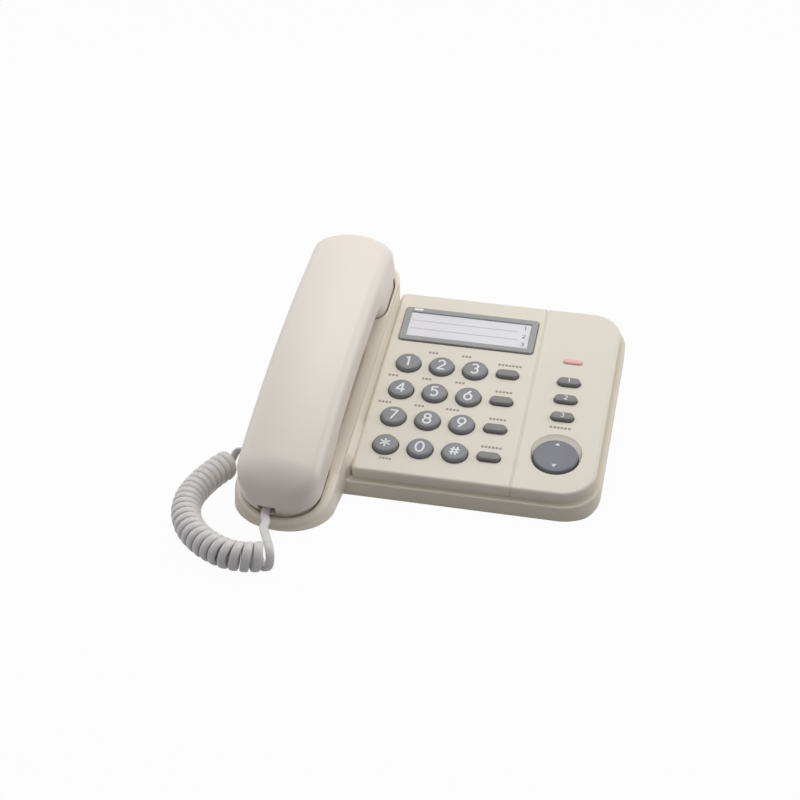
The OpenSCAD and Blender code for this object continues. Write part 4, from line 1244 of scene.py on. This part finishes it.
# %% Upper shell
upper = Skin()
rings = [split_ring(SEAM, share) for share in (1.0, 0.5, 0.0)]
rings += [[crown_point(p, edge_reach(p) * (1 - c)) for p in OUTLINE] for s, c in quarter(12)]
for share in (0.1, 0.22, 0.36, 0.52, 0.7, 0.88, 1.0):
    rings.append([crown_point(p, edge_reach(p) + (spine_at(p)[1] - edge_reach(p)) * share)
                  for p in OUTLINE])
upper.stack(rings)
handset_top = upper.build("handset_upper_shell", smooth=50)
dress(handset_top, ivory_pale, "handset", "handset", "handset_top")
print("upper shell", len(handset_top.data.polygons), "faces")

# %% [markdown]
# The lower shell turns under the grip with a small edge. Towards the mouthpiece it
# reaches down to the rim and draws in, and beside the earpiece it leans out to the cap.

# %% Lower shell
TUCK_GRIP, GRIP_TURN = 2.7, 3.6  # how far in, and how deep, the edge under the grip turns
MOUTH_BOTTOM = 1.4


def shell_ring(turn, extra=0.0):
    """Ring of the lower shell at an angle of its tucked edge, moved in by extra."""
    s, c = math.sin(turn), math.cos(turn)
    ring = []
    for p in OUTLINE:
        to_ear = ease(p[1], 150, 158)
        to_mouth = 1 - ease(p[1], 46, 58)
        to_grip = 1 - to_ear - to_mouth
        tuck_mouth = 1.4 + 1.4 * min(1.0, abs(p[0]) / HS_HALF) ** 2
        tuck = TUCK_GRIP * to_grip + tuck_mouth * to_mouth
        u, v = moved_in(p, tuck * (1 - c) + extra)
        top = HS_SPLIT - SEAM + arch(p[1])
        bottom = (GRIP_W + arch(p[1])) * (1 - to_mouth) + MOUTH_BOTTOM * to_mouth
        deep = GRIP_TURN * to_grip + (top - bottom) * (1 - to_grip)
        ring.append(drafted(u, v, top - (top - bottom - deep) * min(1.0, turn * 4) - deep * s))
    return ring


lower = Skin()
rings = [split_ring(-SEAM, 0.5)]
rings += [shell_ring(math.pi / 2 * i / 9) for i in range(10)]
rings += [shell_ring(math.pi / 2, extra) for extra in (4.0, 9.0)]
lower.capped(rings)
handset_low = lower.build("handset_lower_shell", smooth=50)
print("lower shell", len(handset_low.data.polygons), "faces")

# %% [markdown]
# The caps reach down from the lower shell into the cradle's wells. Each is one closed
# skin a little smaller than its well, with a soft edge at its lower face.

# %% Caps
CAP_TOP_W = 0.5  # where a cap's straight wall starts
OVER_FLOOR = 0.02  # over the well's floor


def cap_skin(outline, top_w, bottom, edge, lean=0.0):
    """Closed cap that goes down into a well. bottom(u, v) is the depth of its face."""
    skin = Skin()
    rings = [[rim(u, v, top_w) for u, v in outline(-lean * (top_w - CAP_TOP_W))],
             [rim(u, v, CAP_TOP_W) for u, v in outline(0)]]
    for s, c in quarter(5):
        rings.append([rim(u, v, bottom(u, v) + edge * (1 - s))
                      for u, v in outline(-edge * (1 - c))])
    skin.capped(rings)
    return skin


def ear_cap_outline(grow):
    return rounded(-24.18 - grow, 154.1 - grow, 24.18 + grow, 199 + grow,
                   [9.8 + grow] * 2 + [19 + grow] * 2, 12)


def mouth_cap_outline(grow):
    return rounded(-20.2 - grow, 5.0 - grow, 19.4 + grow, 46.4 + grow,
                   [20.2 + grow, 16.8 + grow, 9.5 + grow, 9.5 + grow], 16)


def ear_face(u, v):
    return -EAR_DEPTH + OVER_FLOOR


def mouth_face(u, v):
    return mouth_bottom(u, v) + OVER_FLOOR


ear_cap = cap_skin(ear_cap_outline, 9.0, ear_face, 1.6, LEAN).build("earpiece_cap", smooth=50)
mouth_cap = cap_skin(mouth_cap_outline, 3.4, mouth_face, 0.9).build("mouthpiece_cap", smooth=50)
print("caps", len(ear_cap.data.polygons), "and", len(mouth_cap.data.polygons), "faces")

# %% [markdown]
# The plug enters the front end through a notch in both shells. The earpiece has a ring
# of round sound holes and the mouthpiece three slots. All are real openings.

# %% Notch, sound holes and slots
NOTCH_U, NOTCH_V, NOTCH_W = (-8.2, 1.4), (-4, 27.5), (0.9, 6.6)
HOLE_RING, HOLE_R, HOLE_W = 7, 1.2, (-14, -9.5)
SLIT_X, SLIT_Y, SLIT_HALF, SLIT_PITCH = POD_X - 2, (POD_Y + 32, POD_Y + 40), 0.7, 4

for shell in (handset_top, handset_low, mouth_cap):
    notch = Skin()
    notch.box(rim, *zip(NOTCH_U, NOTCH_V, NOTCH_W))
    cut(shell, notch)
holes = Skin()
for i in range(6):
    a = math.pi / 3 * i
    holes.drum(rim, HOLE_RING * math.cos(a), HOOK_V + HOLE_RING * math.sin(a), HOLE_R, *HOLE_W)
holes.drum(rim, 0, HOOK_V, HOLE_R, *HOLE_W)
cut(ear_cap, holes)
slits = Skin()
for step in (-SLIT_PITCH, 0, SLIT_PITCH):
    slits.box(level, (SLIT_X + step - SLIT_HALF, SLIT_Y[0], 4),
              (SLIT_X + step + SLIT_HALF, SLIT_Y[1], 7.6))
cut(mouth_cap, slits)
for piece in (handset_low, ear_cap, mouth_cap):
    dress(piece, ivory_pale, "handset", "handset", "handset_bottom")
keep_flats_flat(ear_cap)
keep_flats_flat(mouth_cap)

# %% [markdown]
# The plug fills the notch. Its body is square, and in front of it the shell tapers to
# the cord.

# %% Handset plug
PLUG_U, PLUG_W = -3.4, 3.75
# sections: how far along the handset, half width, half height
PLUG_STEPS = [(5.0, 1.7, 1.1), (6.2, 2.0, 1.4), (8.6, 2.8, 2.3), (10.8, 2.9, 2.5),
              (11.05, 3.8, 3.15), (24.7, 3.8, 3.15), (25.0, 3.4, 2.8)]
plug = Skin()
rings = []
for v, wide, tall in PLUG_STEPS:
    outline = rounded(PLUG_U - wide, PLUG_W - tall, PLUG_U + wide, PLUG_W + tall, [0.7] * 4, 4)
    rings.append([rim(u, v, w) for u, w in outline])
plug.capped(rings)
plug_body = plug.build("handset_plug_shell")
dress(plug_body, plug_shell, "handset", "plug", "handset_plug")
print("plug", PLUG_STEPS[-1][0] - PLUG_STEPS[0][0], "mm long")

# %% [markdown]
# ## Keys
#
# A digit key is a short drum with a domed top and a rounded edge. The volume key is a
# wider one, so both come from one function.

# %% Drum-shaped keys
KEY_RISE, KEY_DOME = 2.5, 60.0
KEY_FOOT, KEY_TOP_EDGE = -4.0, 1.25


def dome(radius, rise=KEY_RISE, sphere=KEY_DOME):
    """Height of a domed top at a distance from its centre."""
    return rise - (sphere - math.sqrt(sphere * sphere - radius * radius))


def drum_key(name, node, u, v, radius, rise, sphere, edge, foot, finish, slot):
    """A round key at u, v: its side, its soft edge and rings over its dome."""
    skin = Skin()
    top = dome(radius - edge, rise, sphere)
    steps = [(radius, foot), (radius, top - edge)]
    steps += [(radius - edge * (1 - c), top - edge * (1 - s)) for s, c in quarter(5)[1:]]
    steps += [(radius * share, dome(radius * share, rise, sphere))
              for share in (0.8, 0.6, 0.4, 0.2, 0.05)]
    skin.capped([[deck(x, y, w) for x, y in round_hole(u, v, r, 48)] for r, w in steps])
    dress(skin.build(name, smooth=50), finish, node + "_body", slot, node)


print("a key's dome rises", round(dome(0) - dome(KEY_R), 2), "mm from edge to middle")

# %% [markdown]
# A sign on a key is a real printed layer: a flat strip that follows the pen's strokes
# and lies on the dome a few hundredths of a millimetre proud. Lines and arcs are all
# that the signs need, so they are written down as such.

# %% Signs as strokes
# Each sign is a few strokes in a box 1 high: (x, y) points, or an arc as
# (centre x, centre y, half width, half height, from, to) in degrees.
SIGNS = {
    "0": [[(0.0, 0.0, 0.28, 0.46, 0, 360)]],
    "1": [[(-0.17, 0.3), (0.04, 0.46), (0.04, -0.46)]],
    "2": [[(0.0, 0.19, 0.24, 0.27, 165, -28), (-0.25, -0.44), (0.28, -0.44)]],
    "3": [[(0.0, 0.23, 0.22, 0.23, 150, -90), (0.0, -0.21, 0.25, 0.25, 90, -150)]],
    "4": [[(0.3, -0.2), (-0.3, -0.2), (0.12, 0.46), (0.12, -0.46)]],
    "5": [[(0.22, 0.45), (-0.19, 0.45), (-0.21, 0.04), (-0.01, -0.16, 0.25, 0.3, 100, -145)]],
    "6": [[(0.16, 0.46), (0.0, -0.16, 0.26, 0.3, 150, 490)]],
    "7": [[(-0.26, 0.44), (0.27, 0.44), (-0.1, -0.46)]],
    "8": [[(0.0, 0.24, 0.22, 0.22, 0, 360)], [(0.0, -0.21, 0.26, 0.25, 0, 360)]],
    "9": [[(-0.16, -0.46), (0.0, 0.16, 0.26, 0.3, -30, 310)]],
    "*": [[(0, -0.46), (0, 0.46)], [(-0.4, -0.23), (0.4, 0.23)], [(-0.4, 0.23), (0.4, -0.23)]],
    "#": [[(-0.22, -0.44), (-0.1, 0.44)], [(0.1, -0.44), (0.22, 0.44)],
          [(-0.4, -0.15), (0.36, -0.15)], [(-0.36, 0.15), (0.4, 0.15)]],
}


LINE_STEP, ARC_STEP = 0.12, 15  # a share of the sign's height, and degrees


def stroke_points(stroke):
    """The stroke's points, its arcs and long lines divided into short steps."""
    points = []
    for item in stroke:
        if len(item) == 2:
            start = points[-1] if points else item
            steps = max(1, int(math.dist(start, item) / LINE_STEP))
            points += [(start[0] + (item[0] - start[0]) * i / steps,
                        start[1] + (item[1] - start[1]) * i / steps) for i in range(1, steps + 1)]
            continue
        x, y, wide, high, start, end = item
        steps = max(4, int(abs(end - start) / ARC_STEP))
        for i in range(steps + 1):
            turn = math.radians(start + (end - start) * i / steps)
            points.append((x + wide * math.cos(turn), y + high * math.sin(turn)))
    clean = [points[0]]
    for point in points[1:]:
        if math.dist(point, clean[-1]) > 0.01:
            clean.append(point)
    return clean


print("signs", " ".join(SIGNS), "- the 8 takes", len(stroke_points(SIGNS["8"][0])), "points a ring")

# %% [markdown]
# Each point of a stroke gets two corners above the surface and two in it, at half the
# pen's width to either side. The sign moves with the key it is printed on.

# %% Printing a sign
def printed(name, text, u, v, height, lay, body, ink, slot, thick=0.05, pen=0.14):
    """A printed sign of a given height, centred on the deck at u, v.

    lay(u, v) is the height of the surface it lies on, pen the stroke's share of the height."""
    skin = Skin()
    for stroke in SIGNS[text]:
        points = stroke_points(stroke)
        rings = []
        for i, (x, y) in enumerate(points):
            ax, ay = points[max(0, i - 1)]
            bx, by = points[min(len(points) - 1, i + 1)]
            length = math.hypot(bx - ax, by - ay)
            nx, ny = (ay - by) / length * pen / 2, (bx - ax) / length * pen / 2
            sides = [(u + (x + nx) * height, v + (y + ny) * height),
                     (u + (x - nx) * height, v + (y - ny) * height)]
            up = [deck(p, q, lay(p, q) + thick) for p, q in sides]
            down = [deck(p, q, lay(p, q) - thick) for p, q in reversed(sides)]
            rings.append(up + down)
        skin.prism(rings)
    dress(skin.build(name), ink, body, slot)


# %% Digit keys
SPECIAL = {"key_star": "*", "key_hash": "#"}
SIGN_HEIGHT = {"*": 6.6, "#": 6.8}
DIGIT_HEIGHT = 7.7
SIGN_OFF = (-0.1, -0.25)  # the signs stand a hair off the keys' middle
names = [["key_star", "key_0", "key_hash"]]
names += [["key_%d" % (7 - 3 * j + i) for i in range(3)] for j in range(3)]
for v, row in zip(ROWS, names):
    for u, node in zip(COLUMNS, row):
        drum_key(node + "_top", node, u, v, KEY_R, KEY_RISE, KEY_DOME, KEY_TOP_EDGE, KEY_FOOT,
                 key_grey, "keys")
        sign = SPECIAL.get(node, node[-1])
        printed(node + "_digit", sign, u + SIGN_OFF[0], v + SIGN_OFF[1],
                SIGN_HEIGHT.get(sign, DIGIT_HEIGHT),
                lambda x, y, u=u, v=v: dome(math.hypot(x - u, y - v)),
                node + "_body", white_ink, "keys")
print("digit keys", sum(len(row) for row in names))

# %% [markdown]
# The pill-shaped keys are the same idea with a longer outline. The three memory keys
# carry a small number each.

# %% Pill keys
PILL_RISE, PILL_TOP_EDGE = 2.1, 0.8
NUMBER_HEIGHT, NUMBER_W = 3.2, 2.22


def pill_key(node, u, v):
    skin = Skin()
    edge, rise = PILL_TOP_EDGE, PILL_RISE
    steps = [(0, KEY_FOOT), (0, rise - edge)]
    steps += [(edge * (1 - c), rise - edge * (1 - s)) for s, c in quarter(5)[1:]]
    steps += [(1.8, rise + 0.1), (2.7, rise + 0.13)]
    skin.capped([[deck(x, y, w) for x, y in
                  pill(u, v, PILL_L - 2 * inset, PILL_W - 2 * inset, 10)] for inset, w in steps])
    dress(skin.build(node + "_top", smooth=50), pill_grey, node + "_body", "keys", node)


for j, v in enumerate(ROWS):
    pill_key("function_key_%d" % (4 - j), FUNCTION_U, v)
for i, v in enumerate(MEMORY_V):
    node = "memory_key_%d" % (3 - i)
    pill_key(node, MEMORY_U, v)
    printed(node + "_digit", str(3 - i), MEMORY_U, v, NUMBER_HEIGHT, lambda x, y: NUMBER_W,
            node + "_body", white_ink, "keys")
print("pill keys", len(ROWS) + len(MEMORY_V))

# %% [markdown]
# ## The volume key
#
# It is one round rocker. Two small arrow heads on it say which way is louder.

# %% Volume key
VOLUME_RISE, VOLUME_DOME, VOLUME_EDGE, VOLUME_FOOT = 1.7, 95.0, 1.0, -5.6
ARROW_HALF, ARROW_TALL, INK = 1.35, 2.1, 0.05
drum_key("volume_key_top", "volume_key", VOLUME_U, VOLUME_V, VOLUME_R, VOLUME_RISE,
         VOLUME_DOME, VOLUME_EDGE, VOLUME_FOOT, volume_grey, "volume")
for name, v, way in (("volume_up_arrow", 8.3, 1), ("volume_down_arrow", -7.9, -1)):
    skin = Skin()
    base_v, tip_v = -way * ARROW_TALL / 2, way * ARROW_TALL / 2
    corners = [(-ARROW_HALF, base_v), (ARROW_HALF, base_v), (0, tip_v)]
    skin.prism([[deck(VOLUME_U + x, VOLUME_V + v + y,
                      dome(abs(v + y), VOLUME_RISE, VOLUME_DOME) + w) for x, y in corners]
                for w in (-INK, INK)])
    dress(skin.build(name), white_ink, "volume_key_body", "volume")
print("volume key", 2 * VOLUME_R, "mm across")

# %% [markdown]
# ## The label card and its frame
#
# A framed paper card sits in a recess at the top of the plate. The frame is a flat ring
# with soft edges, a clear window lies in it and the card beneath carries dotted lines to
# write on. The lines are real strips of ink a few hundredths of a millimetre thick.

# %% Card frame
FRAME_BORDER, FRAME_RISE, FRAME_FOOT = 4.0, 1.1, -1.6
FRAME_GAP, FRAME_EDGE = 0.25, 0.5


def frame_outline(inset, radius=2.0):
    """The frame's outline, moved in, with corners that tighten on the way."""
    return rounded(CARD_U + inset, CARD_V + inset, CARD_U + CARD_L - inset,
                   CARD_V + CARD_H - inset, [max(0.3, radius - inset * 0.6)] * 4, 6)


frame_skin = Skin()
rings = [[deck(u, v, FRAME_FOOT) for u, v in frame_outline(FRAME_GAP)]]
for turns, start in ((quarter(5), FRAME_GAP), (reversed(quarter(5)), FRAME_BORDER)):
    side = 1 if start == FRAME_GAP else -1
    for s, c in turns:
        rings.append([deck(u, v, FRAME_RISE - FRAME_EDGE * (1 - s))
                      for u, v in frame_outline(start + side * FRAME_EDGE * (1 - c))])
rings.append([deck(u, v, FRAME_FOOT) for u, v in frame_outline(FRAME_BORDER)])
made = frame_skin.stack(rings)
frame_skin.join(made[-1], made[0])
card_frame = frame_skin.build("card_frame_ring")
dress(card_frame, frame_grey, "card_cover", "frame_grey", "card_frame")
keep_flats_flat(card_frame)


def deck_slab(name, corners, w0, w1, finish, body, slot, *replaced):
    """Thin closed sheet on the deck, from an outline in (u, v)."""
    skin = Skin()
    skin.capped([[deck(u, v, w) for u, v in corners] for w in (w0, w1)])
    dress(skin.build(name), finish, body, slot, *replaced)


# a small pale mark printed on the frame's back left corner
deck_slab("frame_corner_mark", pill(CARD_U + 7.5, CARD_V + CARD_H - 2.0, 5.4, 1.7, 6),
          FRAME_RISE - INK, FRAME_RISE + INK, white_ink, "card_cover", "frame_grey")
print("frame", CARD_L - 2 * FRAME_GAP, "by", CARD_H - 2 * FRAME_GAP, "mm")

# %% [markdown]
# The card goes a little under the frame, and a thin clear window lies over it. The
# card's two writing lines are rows of dots in one mesh, and each row has its number.

# %% Card and its dotted lines
CARD_W0, CARD_W1, CARD_HIDDEN = 0.02, 0.32, 0.6
WINDOW_W0, WINDOW_W1, WINDOW_GAP = 0.42, 0.92, 0.05
INNER_U0, INNER_U1 = CARD_U + FRAME_BORDER, CARD_U + CARD_L - FRAME_BORDER
INNER_V0, INNER_V1 = CARD_V + FRAME_BORDER, CARD_V + CARD_H - FRAME_BORDER


def inner_outline(grow, radius, steps):
    """The frame's inner edge, grown or shrunk."""
    return rounded(INNER_U0 - grow, INNER_V0 - grow, INNER_U1 + grow, INNER_V1 + grow,
                   [radius] * 4, steps)


def dotted(skin, u0, u1, v, pitch=1.35, length=0.85, width=0.34):
    """A row of short ink dashes across the card."""
    u = u0
    while u < u1:
        skin.box(deck, (u, v, CARD_W1 - 0.02), (u + length, v + width, CARD_W1 + 0.03))
        u += pitch


deck_slab("label_card_sheet", inner_outline(CARD_HIDDEN, 0.6, 3), CARD_W0, CARD_W1, card_white,
          "base", "card", "number_card")
lines = Skin()
third = (INNER_V1 - INNER_V0) / 3
for k in (1, 2):
    dotted(lines, INNER_U0 + 1.5, INNER_U1 - 6.5, INNER_V0 + third * k)
dress(lines.build("label_card_lines"), dark_ink, "base", "card")
for k in range(3):
    printed("label_card_row_%d" % (3 - k), str(3 - k), INNER_U1 - 3.2,
            INNER_V0 + third * (k + 0.5), 3.1, lambda x, y: CARD_W1, "base", dark_ink, "card",
            thick=0.03)
deck_slab("label_window_sheet", inner_outline(-WINDOW_GAP, 1.0, 5), WINDOW_W0, WINDOW_W1, clear,
          "card_cover", "clear", "card_window")
print("card", round(INNER_U1 - INNER_U0, 1), "by", round(INNER_V1 - INNER_V0, 1), "mm")

# %% [markdown]
# ## The signal lamp
#
# A small pink lens with a domed top stands in the plate behind the memory keys. Each of
# its rings is the same pill moved in, at a height that flattens towards the middle.

# %% Lamp lens
LENS_L, LENS_W = LAMP_L - 0.1, LAMP_W - 0.1
LENS_STEPS = [(0, -2.0), (0, 0.2), (0.25, 0.5), (0.6, 0.72), (1.1, 0.85), (1.6, 0.9)]
lamp = Skin()
lamp.capped([[deck(x, y, w) for x, y in
              pill(MEMORY_U, LAMP_V, LENS_L - 2 * inset, LENS_W - 2 * inset, 10)]
             for inset, w in LENS_STEPS])
dress(lamp.build("lamp_lens", smooth=60), lamp_red, "base", "lamp", "lamp_window")
print("lens", LENS_L, "by", LENS_W, "mm")

# %% [markdown]
# ## Printed marks beside the keys
#
# Brown printing stands behind most of the keys, and in front of the star key. Here it is
# rows of short plain dashes, which give the eye the same fine texture and say nothing.

# %% Dashes on the plate
DASH_H, DASH_GAP, DASH_R = 1.6, 0.5, 0.25
LETTER, STAR_LETTER, VOLUME_LETTER = 1.45, 1.2, 1.5


def dashes(skin, u, v, count, width=LETTER):
    """Centred row of small upright bars, as fine as print."""
    x = u - (count * width + DASH_GAP * (count - 1)) / 2
    for _ in range(count):
        corners = rounded(x, v - DASH_H / 2, x + width, v + DASH_H / 2, [DASH_R] * 4, 2)
        skin.capped([[deck(a, b, w) for a, b in corners] for w in (-0.04, 0.03)])
        x += width + DASH_GAP


prints = Skin()
for i, u in enumerate(COLUMNS):
    for j, v in enumerate(ROWS):
        if j > 0 and (i, j) != (0, 3):
            # the 7 and 9 keys have a mark more
            count = 4 if j == 1 and i != 1 else 3
            dashes(prints, u - 6.6 - 0.4 * (count - 3), v + 11.2, count)
for v, count in zip(ROWS, (6, 5, 5, 7)):
    dashes(prints, FUNCTION_U + 0.2, v + 7.9, count)
dashes(prints, VOLUME_U - 0.6, VOLUME_V + 22.2, 6, VOLUME_LETTER)
dashes(prints, COLUMNS[0] + 1.7, ROWS[0] - 9.8, 4, STAR_LETTER)
ink = prints.build("plate_dashes")
dress(ink, brown_ink, "base", "case")
print("dashes", len(ink.data.polygons), "faces")

# %% [markdown]
# ## The parts that keep their shape
#
# Everything inside the case, the feet and the screws come from the solid model as they
# are. They only need finishes, so each material slot of the record gets one.

# %% Finishes of the solid parts
SLOT_FINISH = {
    "case": ivory, "case_low": ivory_low, "handset": ivory_pale, "rubber": rubber_black,
    "steel": steel, "board": board_green, "black": black_plastic, "ribbon": ribbon_grey,
    "capacitor": capacitor_blue, "sounder": black_plastic, "lamp": lamp_red,
    "card": card_white, "frame_grey": frame_grey, "clear": clear, "plunger": black_plastic,
    "keys": key_grey, "volume": volume_grey, "capsule": black_plastic, "weight": steel,
    "plug": plug_shell, "cord": cord_grey,
}
slot_of = {part["node"]: part["material_slot"] for part in frame["record"]["subparts"]}
for name, node in nodes.items():
    finish = SLOT_FINISH[slot_of[name]]
    node.data.materials.clear()
    node.data.materials.append(finish)
print("dressed", len(nodes), "solid parts")

# %% [markdown]
# ## Sizes
#
# The dressed telephone should fill the same box as the solid one.

# %% Finish
bpy.context.view_layer.update()
